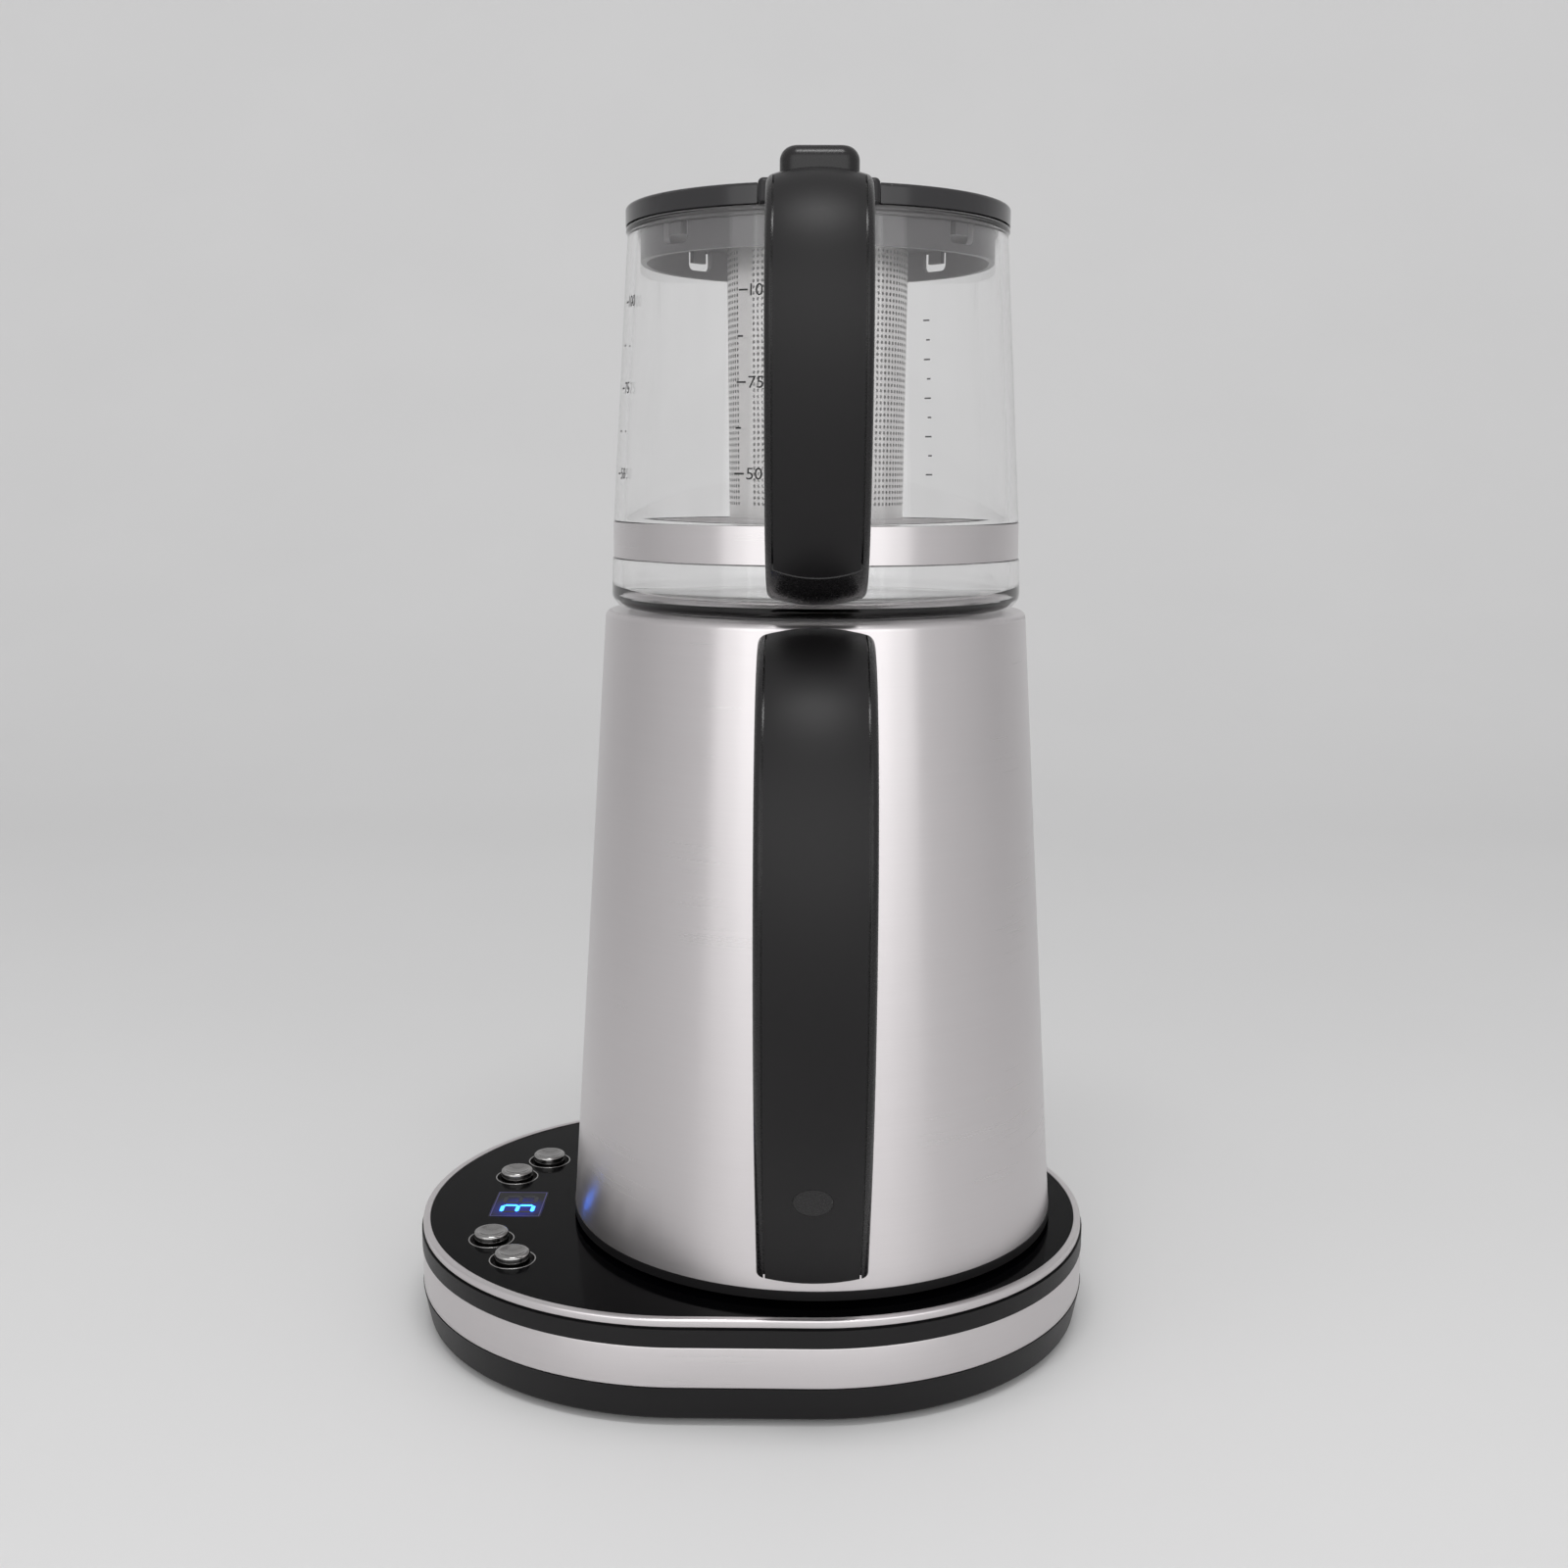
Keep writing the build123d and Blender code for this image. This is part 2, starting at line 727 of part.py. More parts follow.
# ---------------------------------------------------------------- kettle
kettle_outline = [
    (0, kettle_shell_bottom),
    (kettle_bottom_radius, kettle_shell_bottom),
    (kettle_top_radius, kettle_top),
    (0, kettle_top),
]
kettle_hollow = [
    (0, kettle_shell_bottom),
    (kettle_bottom_radius - kettle_wall, kettle_shell_bottom),
    (kettle_top_radius - kettle_wall, kettle_top - kettle_wall),
    (0, kettle_top - kettle_wall),
]
kettle_shoulder = [(kettle_outline[2], kettle_shoulder_round)]
with BuildPart() as kettle_shell:
    turn(kettle_outline, kettle_shoulder)
    turn(
        kettle_hollow,
        [(kettle_hollow[2], kettle_shoulder_round - kettle_wall)],
        Mode.SUBTRACT,
    )
    tube(0, kettle_mouth_radius, kettle_top - 2 * kettle_wall, kettle_top, Mode.SUBTRACT)
    rod(
        spout_port_radius,
        (0, spout_port_height),
        kettle_mouth_radius,
        kettle_bottom_radius,
        Mode.SUBTRACT,
    )
    # Welded pads that the handle is screwed to
    for height in kettle_screw_heights:
        wall = kettle_radius(height)
        block(
            (-handle_pad_width / 2, handle_pad_width / 2),
            (-wall - handle_pad_thickness, -wall + kettle_wall / 2),
            (height - handle_pad_width / 2, height + handle_pad_width / 2),
        )
        rod(
            handle_screw_radius + running_gap,
            (0, height),
            -wall - handle_pad_thickness,
            -wall - fit_gap,
            Mode.SUBTRACT,
        )
save(kettle_shell, "kettle_shell")

screw_places = PolarLocations(bottom_screw_circle, bottom_screw_count, bottom_screw_start)
cover_plate_top = cover_plate_bottom + cover_plate_thickness
upstand_outer = kettle_radius(kettle_shell_bottom + cover_upstand) - kettle_wall - fit_gap
with BuildPart() as kettle_bottom_cover:
    tube(
        kettle_cover_radius - 2 * base_wall,
        kettle_cover_radius,
        kettle_bottom,
        kettle_shell_bottom,
    )
    tube(socket_radius + fit_gap, kettle_cover_radius - base_wall, cover_plate_bottom, cover_plate_top)
    tube(
        upstand_outer - base_wall,
        upstand_outer,
        cover_plate_bottom,
        kettle_shell_bottom + cover_upstand,
    )
    with BuildSketch(Plane.XY.offset(cover_plate_bottom)):
        with screw_places:
            Circle(boss_radius)
    extrude(amount=heater_height - cover_plate_bottom)
    with BuildSketch(Plane.XY.offset(cover_plate_bottom)):
        with screw_places:
            Circle(screw_radius + running_gap)
    extrude(amount=heater_height - cover_plate_bottom, mode=Mode.SUBTRACT)
    with BuildSketch(Plane.XY.offset(cover_plate_bottom)):
        with screw_places:
            Circle(screw_head_radius + fit_gap)
    extrude(amount=screw_head_height, mode=Mode.SUBTRACT)
save(kettle_bottom_cover, "kettle_bottom_cover")

with BuildPart() as bottom_screws:
    with BuildSketch(Plane.XY.offset(cover_plate_bottom)):
        with screw_places:
            Circle(screw_head_radius)
    extrude(amount=screw_head_height)
    with BuildSketch(Plane.XY.offset(cover_plate_bottom + screw_head_height)):
        with screw_places:
            Circle(screw_radius)
    extrude(amount=heater_height - cover_plate_bottom - screw_head_height - fit_gap)
save(bottom_screws, "bottom_screws")

heater_radius = kettle_radius(heater_height + heater_thickness) - kettle_wall - fit_gap / 2
with BuildPart() as heater_plate:
    tube(0, heater_radius, heater_height, heater_height + heater_thickness)
    with BuildSketch(Plane.XY.offset(heater_height)):
        with Locations((probe_x, 0)):
            Circle(probe_radius + fit_gap / 2)
    extrude(amount=heater_thickness, mode=Mode.SUBTRACT)
save(heater_plate, "heater_plate")

with BuildPart() as heating_element:
    with BuildSketch(Plane.XZ):
        with Locations((element_radius, heater_height - element_tube_radius - fit_gap / 2)):
            Circle(element_tube_radius)
    revolve(axis=Axis.Z, revolution_arc=element_sweep)
save(heating_element, "heating_element")

tongue_inner = dock_groove_inner + slide_gap
tongue_outer = ring_outer - contact_thickness - slide_gap
socket_bottom = dock_top + slide_gap
with BuildPart() as kettle_socket:
    tube(0, socket_radius, socket_bottom, heater_height)
    tube(dock_radius + slide_gap, socket_radius, cover_plate_bottom, socket_bottom)
    tube(tongue_inner, tongue_outer, dock_floor + 2 * slide_gap, socket_bottom)
    tube(0, pin_well_radius, socket_bottom, dock_top + pin_rise + 2 * slide_gap, Mode.SUBTRACT)
save(kettle_socket, "kettle_socket")

probe_bottom = heater_height - probe_rise
probe_top = heater_height + probe_rise
with BuildPart() as temperature_probe:
    with BuildSketch(Plane.XY.offset(probe_bottom)):
        with Locations((probe_x, 0)):
            Circle(probe_radius)
    extrude(amount=probe_top - probe_bottom)
    fillet(temperature_probe.faces().sort_by(Axis.Z)[-1].edges(), probe_tip_round)
save(temperature_probe, "temperature_probe")

mouth_ring_outer = kettle_mouth_radius - fit_gap
mouth_ring_inner = mouth_ring_outer - mouth_ring_width
clip_top = kettle_top - kettle_wall - fit_gap / 2
with BuildPart() as mouth_ring:
    tube(mouth_ring_inner, mouth_ring_outer, kettle_top - mouth_ring_height, kettle_top)
    tube(mouth_ring_inner, mouth_ring_outer + mouth_clip_width, clip_top - mouth_clip_width, clip_top)
save(mouth_ring, "mouth_ring")

with BuildPart() as seat_gasket:
    tube(
        mouth_ring_outer - gasket_width,
        mouth_ring_outer,
        kettle_top,
        kettle_top + gasket_thickness,
    )
save(seat_gasket, "seat_gasket")

# Spout: a leaning cone brazed over the port, open at the top
spout_root = kettle_radius(spout_top_height)
with BuildPart() as kettle_spout:
    with BuildSketch(Plane.XY.offset(spout_foot_height)):
        with Locations((0, kettle_radius(spout_foot_height))):
            Circle(spout_foot_radius)
    with BuildSketch(Plane.XY.offset(spout_top_height)):
        with Locations((0, spout_root)):
            Circle(spout_top_radius)
    loft()
    with BuildSketch(Plane.XY.offset(spout_foot_height + spout_wall)):
        with Locations((0, kettle_radius(spout_foot_height))):
            Circle(spout_foot_radius - spout_wall)
    with BuildSketch(Plane.XY.offset(spout_top_height)):
        with Locations((0, spout_root)):
            Circle(spout_top_radius - spout_wall)
    loft(mode=Mode.SUBTRACT)
    turn(kettle_outline, kettle_shoulder, Mode.SUBTRACT)
save(kettle_spout, "kettle_spout")

strainer_radius = spout_port_radius + strainer_rim
strainer_y = kettle_radius(spout_port_height) - kettle_wall - strainer_inset
strainer_face_y = strainer_y + strainer_thickness
strainer_gap = fit_gap / 2
spout_port = (0, spout_port_height)
with BuildPart() as spout_strainer:
    rod(strainer_radius, spout_port, strainer_y, strainer_y + strainer_depth)
    rod(spout_port_radius, spout_port, strainer_face_y, strainer_y + strainer_depth, Mode.SUBTRACT)
    with BuildSketch(Plane.XZ.offset(-strainer_y)):
        with Locations(spout_port):
            with HexLocations(strainer_hole_pitch / 2, strainer_hole_rows, strainer_hole_rows):
                Circle(strainer_hole_radius)
    extrude(amount=-strainer_thickness, mode=Mode.SUBTRACT)
    turn(
        [
            (0, kettle_shell_bottom),
            (kettle_bottom_radius - kettle_wall - strainer_gap, kettle_shell_bottom),
            (kettle_top_radius - kettle_wall - strainer_gap, kettle_top - kettle_wall),
            (0, kettle_top - kettle_wall),
        ],
        mode=Mode.INTERSECT,
    )
save(spout_strainer, "spout_strainer")


# ---------------------------------------------------------------- handles
def moved_inwards(points, distance):
    """Points of a parallel curve, on the side that faces the pot."""
    moved = []
    for index, point in enumerate(points):
        before = points[max(index - 1, 0)]
        after = points[min(index + 1, len(points) - 1)]
        along = (after[0] - before[0], after[1] - before[1])
        length = hypot(*along)
        moved.append(
            (
                point[0] - distance * along[1] / length,
                point[1] + distance * along[0] / length,
            )
        )
    return moved


def handle_layer(face_points, near, far):
    """Side view of a handle between two depths under its outer face."""
    outer = moved_inwards(face_points, near)
    inner = moved_inwards(face_points, far)
    with BuildLine() as edge:
        Spline(*outer)
        Line(outer[-1], inner[-1])
        Spline(*reversed(inner))
        Line(inner[0], outer[0])
    make_face(edge.edges())


def handle_body(face_points, width, thickness, edge_round, crown):
    """Whole grip: its side view made solid, then its outer face bowed across its width and
    rounded at the edges, by cutting away what a bowed section carried down it leaves out."""
    with BuildSketch(Plane.YZ) as side:
        handle_layer(face_points, 0, thickness)
    extrude(side.sketch, amount=width / 2, both=True)
    with BuildLine() as face:
        spine = Spline(*[(0, y, z) for y, z in face_points])
    depth = crown + edge_round
    half = width / 2 + handle_section_margin
    across = Plane(origin=spine @ 0, x_dir=(1, 0, 0), z_dir=spine % 0)
    with BuildSketch(across, mode=Mode.PRIVATE) as kept:
        with BuildLine():
            ThreePointArc((-half, -crown), (0, 0), (half, -crown))
            Polyline((half, -crown), (half, -2 * depth), (-half, -2 * depth), (-half, -crown))
        make_face()
        fillet(kept.vertices().group_by(Axis.Y)[-1], edge_round)
    with BuildSketch(across) as waste:
        Rectangle(width + 2 * depth, 2 * depth)
        add(kept.sketch_local, mode=Mode.SUBTRACT)
    sweep(waste.sketch, path=face.line, mode=Mode.SUBTRACT)


def cover_zone(face_points, width, depth, start_y, mode):
    """Outer layer of a grip, in front of start_y."""
    with BuildSketch(Plane.YZ) as side:
        handle_layer(face_points, -handle_cover_thickness, depth)
        with Locations((start_y, 0)):
            Rectangle(
                4 * base_radius,
                8 * base_radius,
                align=(Align.MAX, Align.CENTER),
                mode=Mode.INTERSECT,
            )
    extrude(side.sketch, amount=width / 2, both=True, mode=mode)


def handle_fixing(height, pad_y):
    """Recess for a welded pad, and the well and hole of its screw."""
    head_y = pad_y - handle_screw_length + handle_pad_thickness
    half = handle_pad_width / 2 + fit_gap
    block((-half, half), (pad_y - fit_gap / 2, 0), (height - half, height + half), Mode.SUBTRACT)
    rod(handle_screw_radius + running_gap, (0, height), pad_y, head_y, Mode.SUBTRACT)
    rod(handle_screw_head_radius + fit_gap, (0, height), head_y, -2 * base_radius, Mode.SUBTRACT)


def handle_screw(height, pad_y):
    """Screw along Y with its head towards the grip's outer face."""
    head_y = pad_y - handle_screw_length + handle_pad_thickness
    rod(handle_screw_radius, (0, height), pad_y + handle_pad_thickness - fit_gap, head_y)
    rod(handle_screw_head_radius, (0, height), head_y, head_y - handle_screw_head_height)


kettle_face = [(-(kettle_radius(z) + off), z) for off, z in kettle_handle_face]
kettle_cover_limit = -(kettle_top_radius + kettle_cover_start)
face_line = Spline(*kettle_face)
plug_centre = face_line @ plug_position
plug_along = face_line % plug_position
plug_plane = Plane(
    origin=(0, plug_centre.X, plug_centre.Y),
    x_dir=(1, 0, 0),
    z_dir=(0, plug_along.Y, -plug_along.X),
)
with BuildPart() as kettle_handle_body:
    handle_body(
        kettle_face,
        kettle_handle_width,
        kettle_handle_thickness,
        kettle_handle_round,
        kettle_handle_crown,
    )
    turn(kettle_outline, kettle_shoulder, Mode.SUBTRACT)

with BuildPart() as kettle_handle_cover:
    add(kettle_handle_body.part)
    cover_zone(
        kettle_face,
        kettle_cover_panel_width,
        handle_cover_thickness,
        kettle_cover_limit,
        Mode.INTERSECT,
    )
    with BuildSketch(plug_plane.offset(-plug_thickness)):
        Circle(plug_radius + fit_gap / 2)
    extrude(amount=plug_thickness + handle_cover_thickness, mode=Mode.SUBTRACT)
save(kettle_handle_cover, "kettle_handle_cover")

with BuildPart() as kettle_handle_plug:
    add(kettle_handle_body.part)
    with BuildSketch(plug_plane.offset(-plug_thickness)):
        Circle(plug_radius)
    extrude(amount=plug_thickness + handle_cover_thickness, mode=Mode.INTERSECT)
save(kettle_handle_plug, "kettle_handle_plug")

with BuildPart() as kettle_handle_frame:
    add(kettle_handle_body.part)
    cover_zone(
        kettle_face,
        kettle_cover_panel_width + 2 * handle_seam,
        handle_cover_thickness,
        kettle_cover_limit + handle_seam,
        Mode.SUBTRACT,
    )
    for height in kettle_screw_heights:
        pad_y = -kettle_radius(height) - handle_pad_thickness
        handle_fixing(height, pad_y)
save(kettle_handle_frame, "kettle_handle_frame")

with BuildPart() as kettle_handle_screws:
    for height in kettle_screw_heights:
        handle_screw(height, -kettle_radius(height) - handle_pad_thickness)
save(kettle_handle_screws, "kettle_handle_screws")

# ---------------------------------------------------------------- jug
jug_waist_height = jug_band_top + jug_band_gap
jug_groove_bottom = jug_band_bottom - jug_band_gap
jug_bead_bottom = jug_top - jug_bead_height
jug_outline = [
    (0, jug_bottom),
    (jug_bottom_radius, jug_bottom),
    (jug_bottom_radius - jug_bead, jug_groove_bottom),
    (jug_groove_radius, jug_groove_bottom),
    (jug_groove_radius, jug_waist_height),
    (jug_waist_radius, jug_waist_height),
    (jug_lip_radius, jug_bead_bottom),
    (jug_lip_radius + jug_bead, jug_bead_bottom + jug_bead),
    (jug_lip_radius + jug_bead, jug_top),
    (0, jug_top),
]
jug_rounds = [(jug_outline[1], jug_corner_round)]
jug_hollow = [
    (0, jug_bottom + jug_floor),
    (jug_bottom_radius - jug_wall, jug_bottom + jug_floor),
    (jug_waist_radius - jug_wall, jug_waist_height),
    (jug_lip_radius - jug_wall, jug_top),
    (0, jug_top),
]
beak_foot_z = jug_top - beak_drop


def beak(wall, mode):
    """Leaning cone at the back of the jug's lip, drawn wall inside its outer face."""
    with BuildSketch(Plane.XY.offset(beak_foot_z)) as foot:
        with Locations((0, jug_radius(beak_foot_z) - beak_foot_radius)):
            Circle(beak_foot_radius - wall / 2)
    with BuildSketch(Plane.XY.offset(jug_top)) as mouth:
        with Locations((0, jug_lip_radius - beak_foot_radius)):
            Circle(beak_radius - wall)
    loft([foot.sketch.face(), mouth.sketch.face()], mode=mode)


with BuildPart() as glass_jug:
    turn(jug_outline, jug_rounds)
    beak(0, Mode.ADD)
    turn(jug_hollow, [(jug_hollow[1], jug_inner_round)], Mode.SUBTRACT)
    beak(beak_wall, Mode.SUBTRACT)
save(glass_jug, "glass_jug")

band_ring_inner = jug_groove_radius + jug_band_gap
band_ring_outer = band_ring_inner + jug_band_thickness
jug_screw_height = (jug_band_bottom + jug_band_top) / 2
jug_pad_y = -band_ring_outer - handle_pad_thickness
with BuildPart() as jug_band:
    tube(0, band_ring_outer, jug_band_bottom, jug_band_top)
    block(
        (-handle_pad_width / 2, handle_pad_width / 2),
        (jug_pad_y, 0),
        (jug_band_bottom, jug_band_top),
    )
    tube(0, band_ring_inner, jug_band_bottom, jug_band_top, Mode.SUBTRACT)
    rod(
        handle_screw_radius + running_gap,
        (0, jug_screw_height),
        jug_pad_y,
        -band_ring_outer,
        Mode.SUBTRACT,
    )
save(jug_band, "jug_band")

jug_face = [(-(jug_lip_radius + off), jug_bottom + z) for off, z in jug_handle_face]
jug_cover_limit = -(jug_lip_radius + jug_cover_start)
with BuildPart() as jug_handle_body:
    handle_body(
        jug_face, jug_handle_width, jug_handle_thickness, jug_handle_round, jug_handle_crown
    )
    turn(jug_outline, jug_rounds, Mode.SUBTRACT)
    tube(0, band_ring_outer, jug_band_bottom, jug_band_top, Mode.SUBTRACT)
    # Room for the infuser's hinge block and the lid's rim
    block(
        (-cheek_outer - slide_gap, cheek_outer + slide_gap),
        (cheek_front - slide_gap, 0),
        (jug_bead_bottom, lid_rim_top + lid_rim_height),
        Mode.SUBTRACT,
    )

with BuildPart() as jug_handle_cover:
    add(jug_handle_body.part)
    cover_zone(
        jug_face, jug_cover_panel_width, handle_cover_thickness, jug_cover_limit, Mode.INTERSECT
    )
save(jug_handle_cover, "jug_handle_cover")


def release_plan(margin):
    """Plan of the release button, drawn margin larger all round."""
    with Locations((0, release_centre_y)):
        RectangleRounded(
            release_width + 2 * margin,
            release_length + 2 * margin,
            release_corner_round + margin,
        )


with BuildPart() as jug_handle_frame:
    add(jug_handle_body.part)
    cover_zone(
        jug_face,
        jug_cover_panel_width + 2 * handle_seam,
        handle_cover_thickness,
        jug_cover_limit + handle_seam,
        Mode.SUBTRACT,
    )
    handle_fixing(jug_screw_height, jug_pad_y)
    with BuildSketch(Plane.XY.offset(release_well_floor)):
        release_plan(slide_gap)
    extrude(amount=release_top - release_well_floor, mode=Mode.SUBTRACT)
save(jug_handle_frame, "jug_handle_frame")

with BuildPart() as jug_handle_screw:
    handle_screw(jug_screw_height, jug_pad_y)
save(jug_handle_screw, "jug_handle_screw")

with BuildPart() as release_button:
    with BuildSketch(Plane.XY.offset(release_bottom)):
        release_plan(0)
    extrude(amount=release_depth)
    fillet(release_button.faces().sort_by(Axis.Z)[-1].edges(), release_edge_round)
    with BuildSketch(Plane.XY.offset(release_bottom)):
        release_plan(-release_wall)
    extrude(amount=release_depth - release_wall, mode=Mode.SUBTRACT)
save(release_button, "release_button")

spring_bottom = release_well_floor + spring_wire_radius + fit_gap / 2
spring_top = release_top - release_wall - spring_wire_radius - fit_gap / 2
spring_pitch = (spring_top - spring_bottom) / spring_turns
with BuildPart() as release_spring:
    with BuildLine():
        coil = Helix(
            spring_pitch,
            spring_top - spring_bottom,
            spring_radius,
            center=(0, release_centre_y, spring_bottom),
        )
    with BuildSketch(Plane(origin=coil @ 0, z_dir=coil % 0)):
        Circle(spring_wire_radius)
    sweep()
save(release_spring, "release_spring")

# ---------------------------------------------------------------- infuser
skirt_bottom = jug_top - collar_drop
collar_plate_bottom = collar_plate_top - collar_plate_thickness
basket_hole_radius = basket_top_radius + fit_gap
tab_angles = [
    middle + side * collar_tab_angle for middle in (-90, 90) for side in (-1, 1)
]
with BuildPart() as infuser_collar:
    tube(collar_radius - collar_wall, collar_radius, skirt_bottom, collar_plate_top)
    tube(basket_hole_radius, collar_radius, collar_plate_bottom, collar_plate_top)
    tube(
        collar_flange_inner,
        collar_flange_outer,
        collar_flange_bottom,
        collar_flange_bottom + collar_flange_thickness,
    )
    # Hinge block: a bridge over the jug's lip with a cheek at each end
    block(
        (-cheek_outer, cheek_outer),
        (cheek_front, cheek_back),
        (collar_flange_bottom, collar_flange_bottom + collar_flange_thickness),
    )
    for side in (-1, 1):
        block(
            tuple(sorted((side * cheek_inner, side * cheek_outer))),
            (cheek_front, cheek_back),
            (collar_flange_bottom, jug_top + cheek_rise),
        )
    fillet(infuser_collar.edges().filter_by(Axis.X).sort_by(Axis.Z)[-4:], cheek_round)
    cheek_tops = infuser_collar.edges().filter_by(Axis.Y).group_by(Axis.Z)[-1].sort_by(Axis.X)
    fillet((cheek_tops[0], cheek_tops[-1]), cheek_round)
    with BuildSketch(Plane.YZ):
        with Locations((hinge_y, hinge_z)):
            Circle(hinge_pin_radius + running_gap / 2)
    extrude(amount=cheek_outer, both=True, mode=Mode.SUBTRACT)
    # Snap tabs: U-shaped slits through the skirt
    for angle in tab_angles:
        tab_plane = Plane(
            origin=(0, 0, skirt_bottom + collar_tab_slit),
            x_dir=(-sin(radians(angle)), cos(radians(angle)), 0),
            z_dir=(cos(radians(angle)), sin(radians(angle)), 0),
        )
        with BuildSketch(tab_plane) as slit:
            Rectangle(collar_tab_width, collar_tab_height, align=(Align.CENTER, Align.MIN))
            fillet(slit.vertices().group_by(Axis.Y)[0], collar_tab_round)
            with Locations((0, collar_tab_slit)):
                Rectangle(
                    collar_tab_width - 2 * collar_tab_slit,
                    collar_tab_height,
                    align=(Align.CENTER, Align.MIN),
                    mode=Mode.SUBTRACT,
                )
        extrude(amount=collar_radius, mode=Mode.SUBTRACT)
save(infuser_collar, "infuser_collar")

seal_middle = jug_top - seal_drop
with BuildPart() as collar_seal:
    tube(
        collar_radius + running_gap,
        collar_radius + seal_thickness,
        seal_middle - seal_height / 2,
        seal_middle + seal_height / 2,
    )
save(collar_seal, "collar_seal")

basket_bottom = collar_plate_top - basket_depth
basket_flange_top = collar_plate_top + basket_flange_thickness
with BuildPart() as infuser_basket:
    turn(
        [
            (basket_bottom_radius, basket_bottom),
            (basket_top_radius, collar_plate_top),
            (basket_top_radius + basket_flange_width, collar_plate_top),
            (basket_top_radius + basket_flange_width, basket_flange_top),
            (basket_top_radius - basket_wall, basket_flange_top),
            (basket_bottom_radius - basket_wall, basket_bottom),
        ]
    )
save(infuser_basket, "infuser_basket")

base_disc_radius = basket_bottom_radius - basket_wall - running_gap / 2
with BuildPart() as basket_base:
    tube(0, base_disc_radius, basket_bottom, basket_bottom + basket_wall)
    tube(
        base_disc_radius - basket_wall,
        base_disc_radius,
        basket_bottom,
        basket_bottom + basket_base_rim,
    )
save(basket_base, "basket_base")

with BuildPart() as hinge_pin:
    with BuildSketch(Plane.YZ):
        with Locations((hinge_y, hinge_z)):
            Circle(hinge_pin_radius)
    extrude(amount=cheek_outer - fit_gap, both=True)
save(hinge_pin, "hinge_pin")

# ---------------------------------------------------------------- lid
lid_rim_inside = lid_radius - lid_rim_wall
notch_half_width = cheek_outer + slide_gap
notch_back = cheek_back + slide_gap
with BuildPart() as lid_cover:
    with BuildSketch(Plane.XZ):
        with BuildLine():
            Polyline(
                (0, lid_rim_top + lid_dome),
                (0, lid_plate_bottom),
                (lid_rim_inside, lid_plate_bottom),
                (lid_rim_inside, lid_rim_bottom),
                (lid_radius, lid_rim_bottom),
                (lid_radius, lid_rim_top),
            )
            ThreePointArc(
                (lid_radius, lid_rim_top),
                (lid_radius / 2, lid_rim_top + 0.75 * lid_dome),
                (0, lid_rim_top + lid_dome),
            )
        make_face()
        fillet(vertices().sort_by_distance((lid_radius, lid_rim_top, 0))[0], lid_edge_round)
    revolve(axis=Axis.Z)
    tube(
        0,
        lid_seal_radius - lid_seal_width,
        lid_plate_bottom,
        lid_plate_bottom + lid_pocket_depth,
        Mode.SUBTRACT,
    )
    block(
        (-notch_half_width, notch_half_width),
        (-lid_radius, notch_back),
        (lid_rim_bottom, lid_rim_top + lid_dome),
        Mode.SUBTRACT,
    )
    # Hinge knuckle between the cheeks
    block(
        (-knuckle_half_width, knuckle_half_width),
        (hinge_y, notch_back + lid_rim_wall),
        (lid_plate_bottom, lid_plate_bottom + lid_plate_thickness),
    )
    with BuildSketch(Plane.YZ):
        with Locations((hinge_y, hinge_z)):
            Circle(knuckle_radius)
    extrude(amount=knuckle_half_width, both=True)
    with BuildSketch(Plane.YZ):
        with Locations((hinge_y, hinge_z)):
            Circle(hinge_pin_radius + running_gap)
    extrude(amount=knuckle_half_width, both=True, mode=Mode.SUBTRACT)
save(lid_cover, "lid_cover")

with BuildPart() as lid_seal:
    tube(
        lid_seal_radius - lid_seal_width,
        lid_seal_radius,
        collar_plate_top + slide_gap,
        lid_plate_bottom,
    )
save(lid_seal, "lid_seal")
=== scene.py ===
import json
import math

import bmesh
import bpy
import numpy as np
from mathutils import Matrix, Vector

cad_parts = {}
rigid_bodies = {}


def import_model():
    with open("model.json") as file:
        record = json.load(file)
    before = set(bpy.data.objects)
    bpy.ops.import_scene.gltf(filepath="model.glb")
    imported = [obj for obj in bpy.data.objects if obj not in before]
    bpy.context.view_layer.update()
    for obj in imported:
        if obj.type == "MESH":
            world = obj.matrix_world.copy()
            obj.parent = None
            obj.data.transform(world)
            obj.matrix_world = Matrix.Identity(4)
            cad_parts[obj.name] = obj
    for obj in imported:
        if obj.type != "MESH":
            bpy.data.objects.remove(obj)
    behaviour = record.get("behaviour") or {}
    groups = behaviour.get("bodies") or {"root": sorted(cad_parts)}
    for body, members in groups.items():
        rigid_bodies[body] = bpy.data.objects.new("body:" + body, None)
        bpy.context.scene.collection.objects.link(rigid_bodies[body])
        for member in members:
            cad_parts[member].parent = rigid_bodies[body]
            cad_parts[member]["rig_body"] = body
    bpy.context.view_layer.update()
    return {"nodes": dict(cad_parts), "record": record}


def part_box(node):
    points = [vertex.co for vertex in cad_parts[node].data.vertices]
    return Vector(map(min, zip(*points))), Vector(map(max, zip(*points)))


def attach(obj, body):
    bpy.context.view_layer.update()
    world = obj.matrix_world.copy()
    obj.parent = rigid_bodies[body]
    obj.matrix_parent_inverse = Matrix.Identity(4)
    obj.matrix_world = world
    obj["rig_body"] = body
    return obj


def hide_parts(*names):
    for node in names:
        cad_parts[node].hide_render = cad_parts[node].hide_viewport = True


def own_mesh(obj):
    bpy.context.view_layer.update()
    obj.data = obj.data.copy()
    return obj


bl_info = {
    "name": "Automatic tea maker",
    "version": (1, 0, 0),
    "blender": (4, 5, 0),
    "location": "3D View > Sidebar > Tea Maker",
    "description": "Finishes a two-tier electric tea maker and sets it on a studio floor",
    "category": "Object",
}

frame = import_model()
SLOT_OF = {row["node"]: row["material_slot"] for row in frame["record"]["subparts"]}
BODY_OF = {name: node["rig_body"] for name, node in frame["nodes"].items()}


